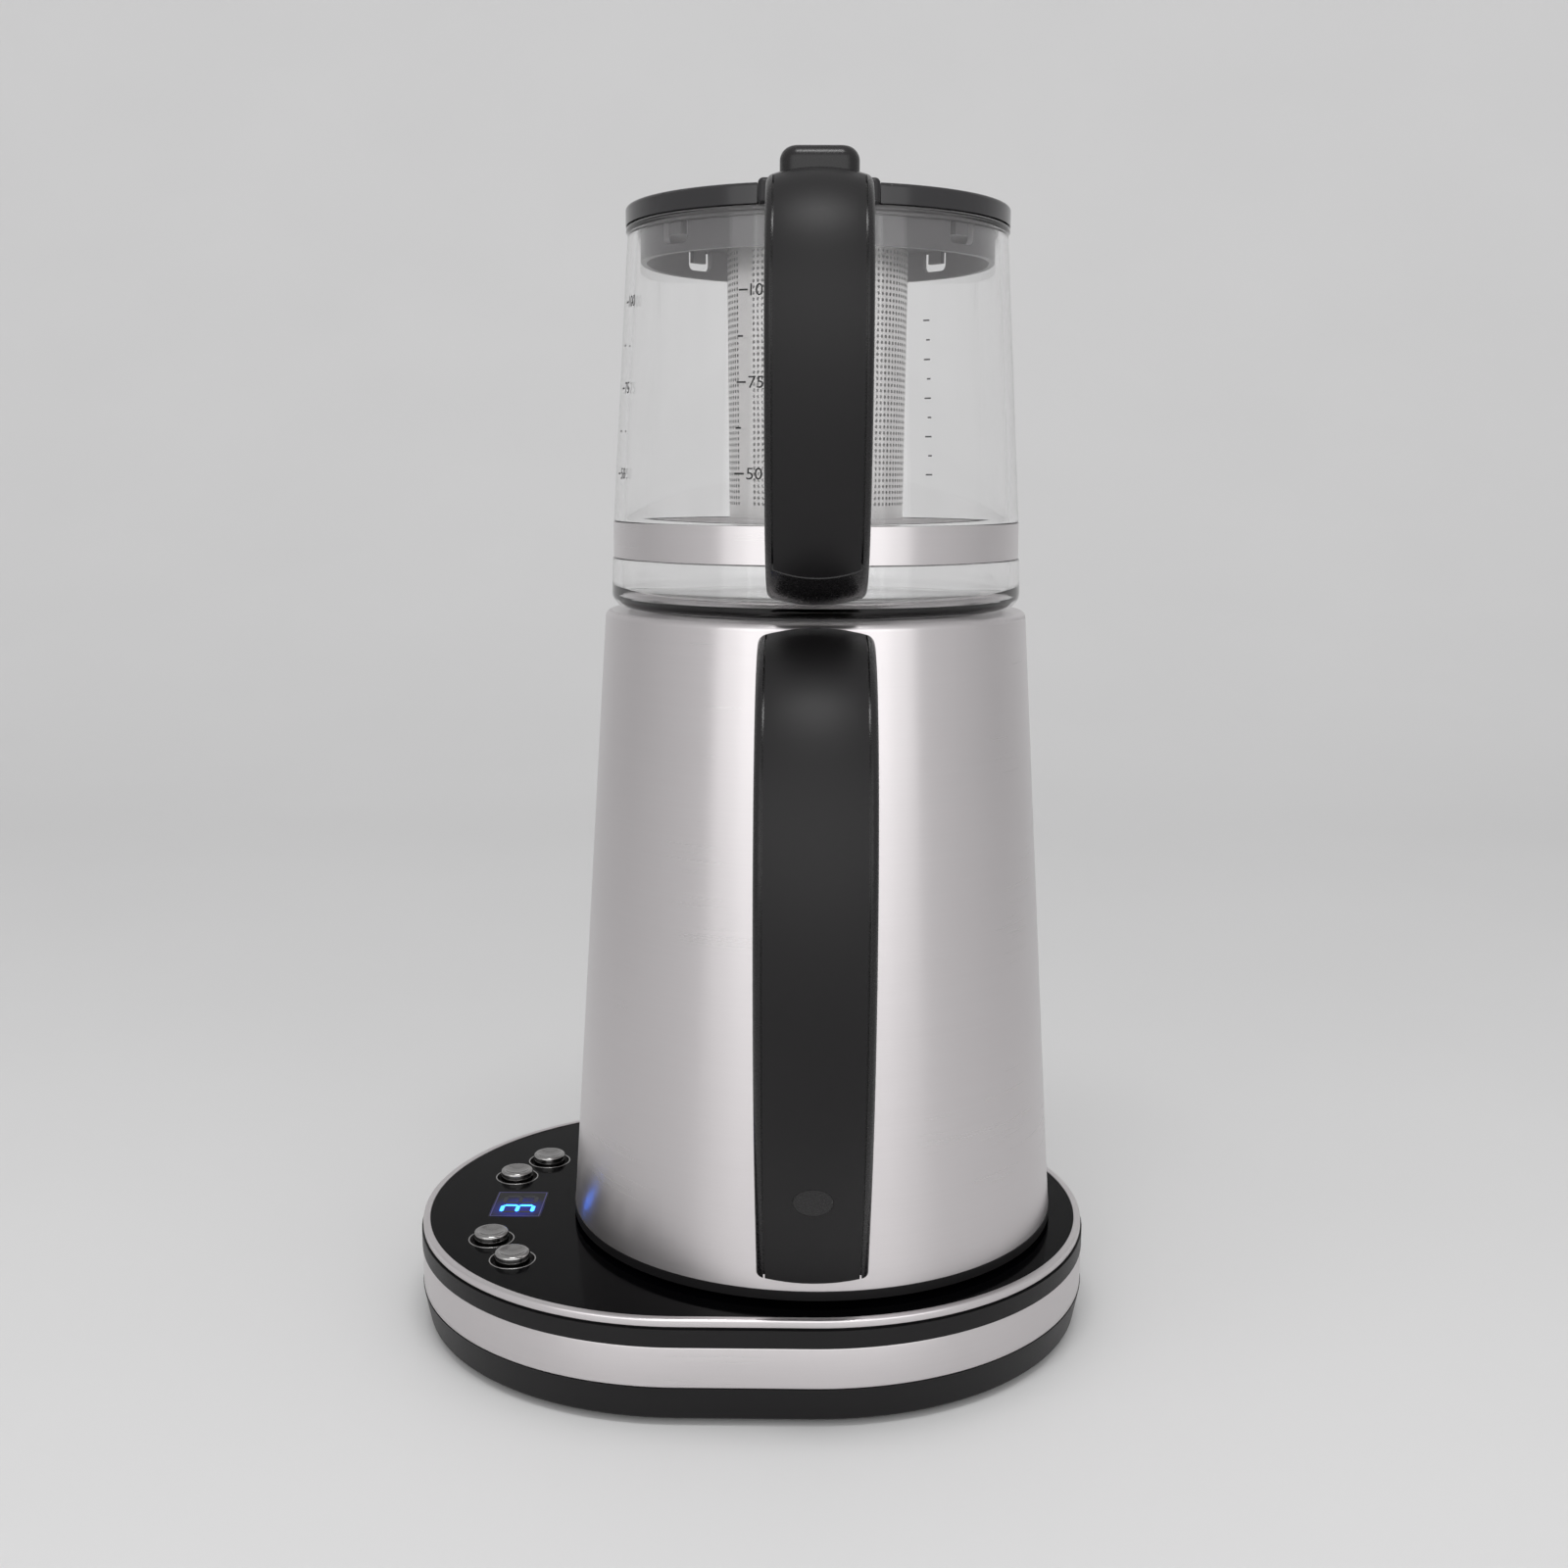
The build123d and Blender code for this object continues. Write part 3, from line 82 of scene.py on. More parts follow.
def top_of(node):
    """Height of a node's top in millimetres."""
    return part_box(node)[1].z * 1000


def bottom_of(node):
    """Height of a node's bottom in millimetres."""
    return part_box(node)[0].z * 1000


# -------------------------------------- sizes in millimetres
BASE_RADIUS = 88.0
PANEL_REACH = 39.0
BUTTON_PLACES = ((-91.6, 33.9), (-100.6, 18.8), (-100.6, -32.8), (-91.6, -47.9))
BUTTON_RADIUS = 5.4
BUTTON_EDGE = 1.15
BUTTON_ROUND = 0.95
BUTTON_HEAD = 3.6
BUTTON_STEM_RADIUS = 3.6
WELL_RADIUS = 7.2
BEZEL_WIDTH = 0.45
WINDOW = (-96.3, -5.0)
WINDOW_SIZE = (17.0, 20.8)
FRAME_INSET = 0.5
FRAME_WIDTH = 0.25
FRAME_LIFT = 0.02
DIGIT_ENDS = (-101.2, -91.2)
LIT_DIGIT_SIDES = (-11.4, -6.2)
DARK_DIGIT_SIDES = (-4.0, 1.2)
BAR_GAP = 0.15
BAR_LIFT = 0.03
JUG_BOTTOM = 230.0
JUG_TOP = 343.1
JUG_FOOT_RADIUS = 63.5
JUG_FOOT_ROUND = 4.5
JUG_HOLLOW_ROUND = 3.5
JUG_GROOVE_RADIUS = 61.8
JUG_WAIST_RADIUS = 62.6
JUG_WAIST = 256.1
JUG_GROOVE_BOTTOM = 245.2
JUG_LIP_RADIUS = 57.5
JUG_BEAD = 0.5
JUG_BEAD_BOTTOM = 341.1
JUG_WALL = 3.0
JUG_FLOOR = 3.2
SCALES = ((-111.9, 12.5, 5), (-164.5, 12.5, 5), (49.0, 6.25, 9))
NUMBERED_SCALES = (-111.9, -164.5)
NUMBER_STEP = 25.0
NUMBER_GAP = 3.3
SCALE_FOOT = 270.5
LONG_TICK = 2.6
SHORT_TICK = 1.5
PRINT_LIFT = 0.01
BEAK_FOOT = 322.1
BEAK_FOOT_RADIUS = 2.5
BEAK_RADIUS = 10.5
BEAK_WALL = 2.3
BEAK_BLEND = 2.0
BASKET_TOP_RADIUS = 27.5
BASKET_FOOT_RADIUS = 26.8
BASKET_FLANGE_RADIUS = 31.0
BASKET_FLANGE = 0.7
BASKET_WALL = 0.5
BASKET_PLAIN_ENDS = 6.0
BASKET_PLAIN_FOOT = 3.4
STRIP_PLACE = -142.0
SPRING_CENTRE = (0.0, -80.0)
SPRING_RADIUS = 4.0
SPRING_WIRE = 0.5
SPRING_TURNS = 5
FLOOR_REACH = 6000.0
FLOOR_LEVEL = 800.0
FLOOR_BEND = 1600.0
FLOOR_TOP = 3400.0
FLOOR_GAP = 0.1
# Centre of the display's painted glow, and the camera, in metres and radians
PAINTED_GLOW_CENTRE = (-0.0962, -0.0085, 0.0332)
LENS = 41.87
CAMERA_PLACE = (-0.009605, -0.573046, 0.26965)
CAMERA_TILT = math.pi / 2 - 0.166845
CAMERA_ROLL = 0.003807
CAMERA_TURN = math.radians(0.7)
# Each lamp's place in metres, turn in degrees, width and height, and power in watts
LAMPS = {
    "front_softbox": ((0.0, -2.2, 0.9), (86, 0, 0), (3.4, 1.8), 21),
    "left_softbox": ((-1.4, -1.45, 0.8), (90, 0, -44), (0.6, 1.5), 2.2),
    "right_softbox": ((1.4, -1.45, 0.8), (90, 0, 44), (0.6, 1.5), 2.2),
    "top_softbox": ((0.0, -0.45, 1.25), (-18, 0, 0), (0.5, 0.3), 5),
}
# The room's light at its brightest, in front, and at its weakest, behind
AIR = (0.95, 0.34)


def linear(colour):
    """An sRGB hex colour as the linear numbers that a shader takes."""
    srgb = np.array([int(colour[i : i + 2], 16) for i in (1, 3, 5)]) / 255
    return tuple(np.where(srgb <= 0.04045, srgb / 12.92, ((srgb + 0.055) / 1.055) ** 2.4))


def length(name, description, default):
    """A size property, in metres."""
    return bpy.props.FloatProperty(
        name=name,
        description=description,
        default=default,
        min=1e-5,
        precision=5,
        subtype="DISTANCE",
        unit="LENGTH",
    )


def colour(name, description, default):
    """A colour property, written as sRGB hex."""
    return bpy.props.FloatVectorProperty(
        name=name,
        description=description,
        default=linear(default),
        min=0,
        max=1,
        subtype="COLOR",
    )


class TeaMakerSizes(bpy.types.PropertyGroup):
    """Sizes of the drawn details"""

    brush_line: length("Brush line", "Spacing of the brushed steel's lines", 0.0005)
    brush_length: length("Brush stroke", "How far one brush line runs", 0.09)
    mould_grain: length("Mould grain", "Grain of the moulded plastics", 0.0004)
    hole_pitch: length("Hole pitch", "From one basket hole to the next", 0.00175)
    hole_radius: length("Hole radius", "Radius of a basket hole", 0.00056)
    plain_strip: length("Plain strip", "Unpierced strip along the basket's seam", 0.0055)
    button_dish: length("Button dish", "Depth of the dish in a button", 0.0013)
    edge_round: length("Edge round", "Round on the base's steel edges", 0.0004)
    mark_width: length("Mark width", "Width of the jug's printed lines", 0.0005)
    number_height: length("Number height", "Height of the jug's printed numbers", 0.0033)
    print_thickness: length("Print", "Thickness of the jug's printed enamel", 0.00004)
    segment_width: length("Segment", "Width of a bar in the display's figure", 0.0013)


class TeaMakerColours(bpy.types.PropertyGroup):
    """Colours of the finishes"""

    steel: colour("Brushed steel", "Kettle, bands and spout", "#d2cecf")
    sieve: colour("Sieve steel", "Infuser basket and strainer", "#e2e0df")
    chrome: colour("Satin chrome", "Buttons", "#9a9998")
    housing: colour("Housing", "Base housings and kettle's foot", "#121112")
    grip: colour("Grip", "Covers of both handles", "#141314")
    rails: colour("Rails", "Frames of both handles", "#151415")
    panel: colour("Panel", "Gloss panel", "#020203")
    collar: colour("Collar", "Infuser's collar", "#6b696b")
    lid: colour("Lid", "Lid and release button", "#1f1e20")
    glass: colour("Glass", "Jug", "#fefefe")
    lit: colour("Lit figure", "Display's lit bars", "#2a78ff")
    ink: colour("Print", "Jug's printed scale", "#0c0c0c")
    floor: colour("Floor", "Studio floor", "#d9d9d9")


def sizes():
    """The tea maker's size properties."""
    return bpy.context.scene.tea_maker_sizes


def colours():
    """The tea maker's colour properties."""
    return bpy.context.scene.tea_maker_colours


# -------------------------------------- surfaces
def rounded(corners, steps=5):
    """Outline with its corners turned to arcs. A corner is (across, up, radius); its arc's
    centre lies on the corner's bisector, radius / sin(half the corner's angle) away, and
    its points turn evenly from one side's touching point to the other's."""
    points = []
    for index, (across, up, radius) in enumerate(corners):
        here = np.array((across, up), float)
        if radius == 0:
            points.append(here[None])
            continue
        back = np.array(corners[index - 1][:2]) - here
        ahead = np.array(corners[(index + 1) % len(corners)][:2]) - here
        back /= np.linalg.norm(back)
        ahead /= np.linalg.norm(ahead)
        half = math.acos(np.clip(back @ ahead, -1, 1)) / 2
        middle = (back + ahead) / np.linalg.norm(back + ahead)
        centre = here + middle * radius / math.sin(half)
        touch = [here + side * radius / math.tan(half) - centre for side in (back, ahead)]
        start, end = (math.atan2(point[1], point[0]) for point in touch)
        sweep = (end - start + math.pi) % math.tau - math.pi
        angles = start + sweep * np.linspace(0, 1, steps + 1)
        points.append(centre + radius * np.stack((np.cos(angles), np.sin(angles)), -1))
    return np.concatenate(points)


def polar(radius, angle, height, centre=(0.0, 0.0)):
    """Points round an upright line at (cx, cy): radius r, angle a and height z go to
    (cx + r cos a, cy + r sin a, z)."""
    across = centre[0] + radius * np.cos(angle)
    along = centre[1] + radius * np.sin(angle)
    return np.stack(np.broadcast_arrays(across, along, height), -1)


def lathe(outline, turns=192, centre=(0.0, 0.0)):
    """Surface of revolution: an outline of radii and heights carried once round."""
    angles = np.linspace(0, math.tau, turns, endpoint=False)
    return polar(outline[:, :1], angles, outline[:, 1:], centre)


def round_base(outline, turns=240):
    """Section carried round the base's plan: a point d outside the rim at height z goes to
    (c + (R + d) cos a, (R + d) sin a, z), where c is 0 on the kettle's half turn and minus
    the panel's reach on the other, so the two half turns join in straight sides."""
    half = np.linspace(-math.pi / 2, math.pi / 2, turns // 2)
    angles = np.concatenate((half, half + math.pi))
    centre = np.repeat((0.0, -PANEL_REACH), turns // 2)
    return polar(BASE_RADIUS + outline[:, :1], angles, outline[:, 1:], (centre, 0.0))


def quads(rows, columns, ring=False, loop=True):
    """Faces of a grid of rows by columns: each joins a point to its neighbours in the next
    row and column. A ring joins the last row to the first, and a loop the last column."""
    row = np.arange(rows if ring else rows - 1)[:, None]
    column = np.arange(columns if loop else columns - 1)[None, :]
    below, beside = (row + 1) % rows, (column + 1) % columns
    corners = (
        row * columns + column,
        row * columns + beside,
        below * columns + beside,
        below * columns + column,
    )
    return np.stack(corners, -1).reshape(-1, 4)


def patch(grid, ring=False, loop=True):
    """A grid of points with its faces, or many grids of one size as one patch."""
    rows, columns = grid.shape[-3:-1]
    starts = np.arange(grid.size // (rows * columns * 3)) * rows * columns
    faces = quads(rows, columns, ring, loop) + starts[:, None, None]
    return grid.reshape(-1, 3), faces.reshape(-1, 4)


def prisms(outlines, bottom, top):
    """Upright solids: each outline's points at two heights, closed by fans from its middle.
    outlines is (solids, points, 2)."""
    middle = np.repeat(outlines.mean(1, keepdims=True), outlines.shape[1], 1)
    layers = ((middle, top), (outlines, top), (outlines, bottom), (middle, bottom))
    grid = np.stack(
        [np.concatenate((flat, np.full_like(flat[..., :1], z)), -1) for flat, z in layers], 1
    )
    return patch(grid)


def solid(name, body, slot, patches, sharp=34.0, stands_for=(), look=None):
    """Puts patches in millimetres in one mesh in metres. Points that meet are joined, which
    closes seams and poles, and closed surfaces are turned to face outwards. A look is the
    finish of a print or a light, which has no slot of its own."""
    points, faces, count = [], [], 0
    for spots, index in patches:
        points.append(spots / 1000)
        faces.extend((index + count).tolist())
        count += len(spots)
    mesh = bpy.data.meshes.new(name)
    mesh.from_pydata(np.concatenate(points).tolist(), [], faces)
    work = bmesh.new()
    work.from_mesh(mesh)
    bmesh.ops.remove_doubles(work, verts=work.verts, dist=1e-6)
    bmesh.ops.recalc_face_normals(work, faces=work.faces)
    work.to_mesh(mesh)
    work.free()
    mesh.shade_smooth()
    mesh.set_sharp_from_angle(angle=math.radians(sharp))
    piece = bpy.data.objects.new(name, mesh)
    bpy.context.scene.collection.objects.link(piece)
    mesh.materials.append(finish(look or slot))
    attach(piece, body)
    if stands_for:
        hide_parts(*stands_for)
    return piece


# -------------------------------------- materials
def add_node(tree, kind, sockets=None, **settings):
    """Adds a shader node. Settings are its own properties; sockets are its inputs, each
    given as a constant or as the output that feeds it."""
    node = tree.nodes.new("ShaderNode" + kind)
    for name, value in settings.items():
        setattr(node, name, value)
    for name, value in (sockets or {}).items():
        if isinstance(value, bpy.types.NodeSocket):
            tree.links.new(value, node.inputs[name])
        else:
            node.inputs[name].default_value = value
    return node


def new_material(name):
    """An empty material with the Object coordinates that its patterns read."""
    made = bpy.data.materials.new(name)
    made.use_nodes = True
    tree = made.node_tree
    tree.nodes.clear()
    return made, tree, add_node(tree, "TexCoord").outputs["Object"]


def close_material(made, **sockets):
    """The material with its Principled shader and output. In a socket's name an underscore
    stands for a space."""
    tree = made.node_tree
    given = {name.replace("_", " "): value for name, value in sockets.items()}
    shader = add_node(tree, "BsdfPrincipled", given)
    add_node(tree, "OutputMaterial", {"Surface": shader.outputs["BSDF"]})
    return made


def noise(tree, where, feature, detail=2.0, stretch=(1, 1, 1)):
    """Noise whose features are about one feature long in metres, stretched along axes."""
    scale = tuple(1 / (feature * factor) for factor in stretch)
    place = add_node(tree, "Mapping", {"Vector": where, "Scale": scale}).outputs["Vector"]
    given = {"Vector": place, "Scale": 1.0, "Detail": detail}
    return add_node(tree, "TexNoise", given).outputs["Fac"]


def span(tree, value, low, high, start=0.3, end=0.7):
    """A 0 to 1 pattern spread over a range."""
    given = {"Value": value, "From Min": start, "From Max": end}
    given |= {"To Min": low, "To Max": high}
    return add_node(tree, "MapRange", given).outputs["Result"]


def tint(tree, value, base, low, high):
    """A colour that the pattern darkens or lightens by a few percent."""
    given = {"Color": (*base, 1), "Value": span(tree, value, low, high)}
    return add_node(tree, "HueSaturation", given).outputs["Color"]


def bump(tree, value, depth):
    """Relief of a pattern, depth metres from low to high."""
    given = {"Height": value, "Strength": 1.0, "Distance": depth}
    return add_node(tree, "Bump", given).outputs["Normal"]


def blend(tree, share, first, second):
    """A share of the second colour in the first. A colour mix numbers its sockets so."""
    given = {0: share, 6: first, 7: second}
    return add_node(tree, "Mix", given, data_type="RGBA").outputs[2]


def facing_out(tree, where, inner, outer):
    """One value on faces turned to the body's middle, and another on those turned away."""
    normal = add_node(tree, "TexCoord").outputs["Normal"]
    level = add_node(tree, "VectorMath", {0: where, 1: (1, 1, 0)}, operation="MULTIPLY")
    turned = {0: normal, 1: level.outputs["Vector"]}
    outward = add_node(tree, "VectorMath", turned, operation="DOT_PRODUCT").outputs["Value"]
    return span(tree, outward, inner, outer, -0.005, 0.005)


def mottled(name, base, feature, detail, shades, gloss, **sockets):
    """A surface with soft spots about one feature long, whose shade and roughness run
    together between two values each."""
    made, tree, where = new_material(name)
    spots = noise(tree, where, feature, detail)
    shade, rough = tint(tree, spots, base, *shades), span(tree, spots, *gloss)
    return close_material(made, Base_Color=shade, Roughness=rough, **sockets)


def glowing(name, base, light, feature, shades, strength):
    """A surface that gives light, with soft spots about one feature long in it."""
    made, tree, where = new_material(name)
    spots = noise(tree, where, feature, 1)
    return close_material(
        made,
        Base_Color=(*base, 1),
        Roughness=0.3,
        Emission_Color=tint(tree, spots, light, *shades),
        Emission_Strength=strength,
    )


def moulded(name, base, roughness, depth, specular=0.25):
    """Injection-moulded plastic with the fine grain of a spark-eroded mould."""
    made, tree, where = new_material(name)
    grain = noise(tree, where, sizes().mould_grain, 2)
    clouds = noise(tree, where, 0.03, 1)
    return close_material(
        made,
        Base_Color=tint(tree, clouds, base, 0.95, 1.05),
        Roughness=span(tree, grain, roughness - 0.04, roughness + 0.04),
        Specular_IOR_Level=specular,
        Normal=bump(tree, grain, depth),
    )


def brushed_steel(name):
    """Stainless steel, belt-brushed round the body: fine level lines, and a sheen that
    spreads up and down but stays narrow sideways. The lines are drawn 0.5 mm apart,
    coarser than the real grit, so that they show."""
    made, tree, where = new_material(name)
    line = sizes().brush_line
    stroke = sizes().brush_length / line
    lines = noise(tree, where, line, 3, (stroke, stroke, 1))
    clouds = noise(tree, where, 0.05, 1)
    uneven = {0: span(tree, lines, 0.28, 0.32), 1: span(tree, clouds, -0.015, 0.015)}
    rough = add_node(tree, "Math", uneven, operation="ADD")
    tangent = add_node(tree, "Tangent", direction_type="RADIAL", axis="Z")
    return close_material(
        made,
        Base_Color=tint(tree, lines, colours().steel, 0.99, 1.006),
        Metallic=1.0,
        Roughness=rough.outputs["Value"],
        Anisotropic=0.75,
        Anisotropic_Rotation=0.25,
        Tangent=tangent.outputs["Tangent"],
        Normal=bump(tree, lines, 2e-7),
    )


def sieve_steel(name):
    """Thin stainless sheet, etched and rolled: a dull, even grey with little gloss. The
    faces turned to the basket's middle are darkened, a painted shade that sets off its
    holes."""
    made, tree, where = new_material(name)
    clouds = noise(tree, where, 0.004, 3)
    sheet = tint(tree, clouds, colours().sieve, 0.95, 1.03)
    # Painted shade: faces turned to the basket's middle are darkened to 55 percent
    painted_shade_inputs = {"Color": sheet, "Value": facing_out(tree, where, 0.55, 1.0)}
    painted_shade_node = add_node(tree, "HueSaturation", painted_shade_inputs)
    return close_material(
        made,
        Base_Color=painted_shade_node.outputs["Color"],
        Metallic=1.0,
        Roughness=span(tree, clouds, 0.28, 0.38),
    )


def satin_chrome(name):
    """Dark chrome plate on satin-moulded ABS, with soft blurred edges to its lights."""
    chrome = colours().chrome
    return mottled(name, chrome, 0.004, 1, (0.98, 1.01), (0.13, 0.17), Metallic=1.0)


def polished_chrome(name):
    """Chrome plate, buffed to a polish: an almost clean mirror, with soft dull spots."""
    return mottled(name, colours().chrome, 0.002, 1, (1, 1), (0.05, 0.1), Metallic=1.0)


def plain_steel(name):
    """Zinc-plated steel, cold-formed: bluish grey, faintly mottled."""
    zinc = linear("#a9abad")
    return mottled(name, zinc, 0.001, 3, (0.85, 1.05), (0.3, 0.45), Metallic=1.0)


def contact_brass(name):
    """Stamped brass: warm yellow with slight tarnish."""
    brass = linear("#c9a25c")
    return mottled(name, brass, 0.002, 3, (0.8, 1.05), (0.25, 0.4), Metallic=1.0)


def housing_abs(name):
    """ABS, injection-moulded with a satin grain: near black, with a soft wide sheen."""
    return moulded(name, colours().housing, 0.42, 6e-6)


def handle_frame_abs(name):
    """Glass-filled nylon, moulded satin: a shade lighter and glossier than the covers."""
    return moulded(name, colours().rails, 0.27, 2e-6, 0.35)


def handle_cover_abs(name):
    """Soft matt ABS, moulded with a spark grain: charcoal, with a broad dull highlight."""
    return moulded(name, colours().grip, 0.44, 1e-5)


def lid_abs(name):
    """ABS, moulded in a polished tool: dark grey with a clear, slightly blurred shine."""
    return moulded(name, colours().lid, 0.17, 2e-6, 0.5)


def collar_polypropylene(name):
    """Polypropylene, moulded satin in two shots: an even mid grey skirt, and from the
    jug's lip up a hinge block as dark as the lid. The skirt is painted paler on its
    inside, painted light that stands in for the light its enclosed inside lacks."""
    made, tree, where = new_material(name)
    clouds = noise(tree, where, 0.02, 1)
    # Painted light: the skirt's inward faces get this paler grey in place of the light they
    # lack
    inside = tint(tree, clouds, linear("#bcbabc"), 0.96, 1.03)
    outside = tint(tree, clouds, colours().collar, 0.96, 1.03)
    skirt = blend(tree, facing_out(tree, where, 0.0, 1.0), inside, outside)
    height = add_node(tree, "SeparateXYZ", {"Vector": where}).outputs["Z"]
    lip = JUG_TOP / 1000
    above = span(tree, height, 0.0, 1.0, lip, lip + 0.0002)
    return close_material(
        made,
        Base_Color=blend(tree, above, skirt, (*colours().lid, 1)),
        Roughness=span(tree, clouds, 0.34, 0.42),
        Specular_IOR_Level=0.3,
    )


def gloss_acrylic(name):
    """Black acrylic sheet, cast and polished: a deep, weak mirror with faint handling
    marks."""
    made, tree, where = new_material(name)
    marks = noise(tree, where, 0.02, 4)
    ripple = noise(tree, where, 0.015, 1)
    return close_material(
        made,
        Base_Color=(*colours().panel, 1),
        Roughness=span(tree, marks, 0.07, 0.14),
        Specular_IOR_Level=0.03,
        Normal=bump(tree, ripple, 1e-5),
    )


def smoked_acrylic(name):
    """Smoked acrylic over the display: black until a bar under it lights. Its polished
    face carries a painted glow: faint blue emission round the lit figure, for its light
    spread in the acrylic."""
    made, tree, where = new_material(name)
    # Painted glow: blue emission fading out from the lit figure's middle
    figure = add_node(tree, "VectorMath", {0: where, 1: PAINTED_GLOW_CENTRE}, operation="DISTANCE")
    fade = {"From Min": 0.003, "From Max": 0.011, "To Min": 1.0, "To Max": 0.0}
    fade["Value"] = figure.outputs["Value"]
    painted_glow_falloff = add_node(tree, "MapRange", fade, interpolation_type="SMOOTHSTEP")
    blue = {"Color": (*linear("#0a1270"), 1), "Value": painted_glow_falloff.outputs["Result"]}
    glow = add_node(tree, "HueSaturation", blue).outputs["Color"]
    marks = noise(tree, where, 0.01, 3)
    return close_material(
        made,
        Base_Color=(*linear("#05050a"), 1),
        Roughness=span(tree, marks, 0.05, 0.1),
        Specular_IOR_Level=0.1,
        Emission_Color=glow,
        Emission_Strength=1.2,
    )


def rubber(name):
    """Moulded rubber: black, dull and slightly dusty."""
    return moulded(name, linear("#1b1b1b"), 0.7, 8e-6, 0.3)


def silicone_rubber(name):
    """Grey silicone, press-moulded: dull and waxy."""
    grey, depth = linear("#6f6d6e"), (0.002, 0.002, 0.002)
    shades, gloss = (0.95, 1.03), (0.35, 0.5)
    inner = {"Subsurface_Weight": 0.4, "Subsurface_Radius": depth, "Subsurface_Scale": 1.0}
    return mottled(name, grey, 0.004, 2, shades, gloss, **inner)


def borosilicate(name):
    """Borosilicate glass, blown in a mould: clear and colourless, with slight waves in its
    faces that bend what is seen through it."""
    made, tree, where = new_material(name)
    waves = noise(tree, where, 0.03, 1)
    return close_material(
        made,
        Base_Color=(*colours().glass, 1),
        Roughness=0.0,
        IOR=1.47,
        Transmission_Weight=1.0,
        Normal=bump(tree, waves, 2e-5),
    )


def circuit_board(name):
    """Glass-epoxy board, screened with green mask: satin green with copper runs under it."""
    made, tree, where = new_material(name)
    pattern = {
        "Vector": where,
        "Scale": 1.0,
        "Mortar Size": 0.0004,
        "Brick Width": 0.009,
        "Row Height": 0.0035,
        "Color1": (*linear("#1c5233"), 1),
        "Color2": (*linear("#174a2c"), 1),
        "Mortar": (*linear("#3d7d4b"), 1),
    }
    runs = add_node(tree, "TexBrick", pattern).outputs["Color"]
    return close_material(made, Base_Color=runs, Roughness=0.35)


def component_resin(name):
    """Moulded epoxy and nylon cases: matt dark grey."""
    return moulded(name, linear("#2e2f31"), 0.5, 4e-6)


def screened_enamel(name):
    """Ceramic enamel, screen-printed and fired on glass: flat black, slightly uneven."""
    return mottled(name, colours().ink, 0.0006, 2, (0.8, 1.1), (0.45, 0.6))


def lit_diode(name):
    """Light-emitting bar behind its diffuser: even, saturated light, faintly clouded."""
    return glowing(name, (0, 0, 0), colours().lit, 0.0012, (0.9, 1.1), 6.0)


def dark_diode(name):
    """The same bar unlit: a dark grey diffuser."""
    return moulded(name, linear("#10101c"), 0.3, 2e-6)


def violet_enamel(name):
    """Thin enamel, screen-printed round the window and lit from behind: dim violet."""
    return glowing(name, linear("#191634"), linear("#2b2374"), 0.004, (0.8, 1.1), 0.8)


def matt_paint(name):
    """Painted board, rolled: even, matt and pale, with a trace of the roller's clouds."""
    floor = colours().floor
    shades, gloss = (0.99, 1.01), (0.6, 0.6)
    return mottled(name, floor, 0.25, 2, shades, gloss, Specular_IOR_Level=0.2)


FINISHES = {
    "housing_plastic": ("Satin moulded ABS", housing_abs),
    "brushed_steel": ("Brushed stainless steel", brushed_steel),
    "gloss_panel": ("Polished black acrylic", gloss_acrylic),
    "display_smoke": ("Smoked acrylic window", smoked_acrylic),
    "satin_chrome": ("Satin chrome on ABS", satin_chrome),
    "polished_chrome": ("Polished chrome", polished_chrome),
    "foot_rubber": ("Moulded rubber", rubber),
    "handle_plastic": ("Satin moulded nylon", handle_frame_abs),
    "handle_cover_plastic": ("Grained moulded ABS", handle_cover_abs),
    "circuit_board": ("Screened epoxy board", circuit_board),
    "component_plastic": ("Moulded component resin", component_resin),
    "contact_brass": ("Stamped brass", contact_brass),
    "plain_steel": ("Zinc-plated steel", plain_steel),
    "sieve_steel": ("Etched stainless sieve", sieve_steel),
    "silicone": ("Moulded silicone", silicone_rubber),
    "jug_glass": ("Blown borosilicate glass", borosilicate),
    "collar_plastic": ("Satin moulded polypropylene", collar_polypropylene),
    "lid_plastic": ("Polished moulded ABS", lid_abs),
    # Not slots: finishes of prints and lights, which lie on other pieces, and of the floor
    "print": ("Fired enamel print", screened_enamel),
    "lit": ("Lit diode bar", lit_diode),
    "unlit": ("Unlit diode bar", dark_diode),
    "window_frame": ("Printed window frame", violet_enamel),
    "floor": ("Matt floor paint", matt_paint),
}


def finish(look):
    """The material of a slot, print or light, made when it is first asked for."""
    name, make = FINISHES[look]
    return bpy.data.materials.get(name) or make(name)


def dress(*nodes):
    """Gives CAD nodes the material of their slot."""
    for node in nodes:
        mesh = frame["nodes"][node].data
        mesh.materials.clear()
        mesh.materials.append(finish(SLOT_OF[node]))


def stand_in(name, node, patches, sharp=34.0):
    """A finished piece in place of a CAD node, on its body and with its slot."""
    return solid(name, BODY_OF[node], SLOT_OF[node], patches, sharp, (node,))


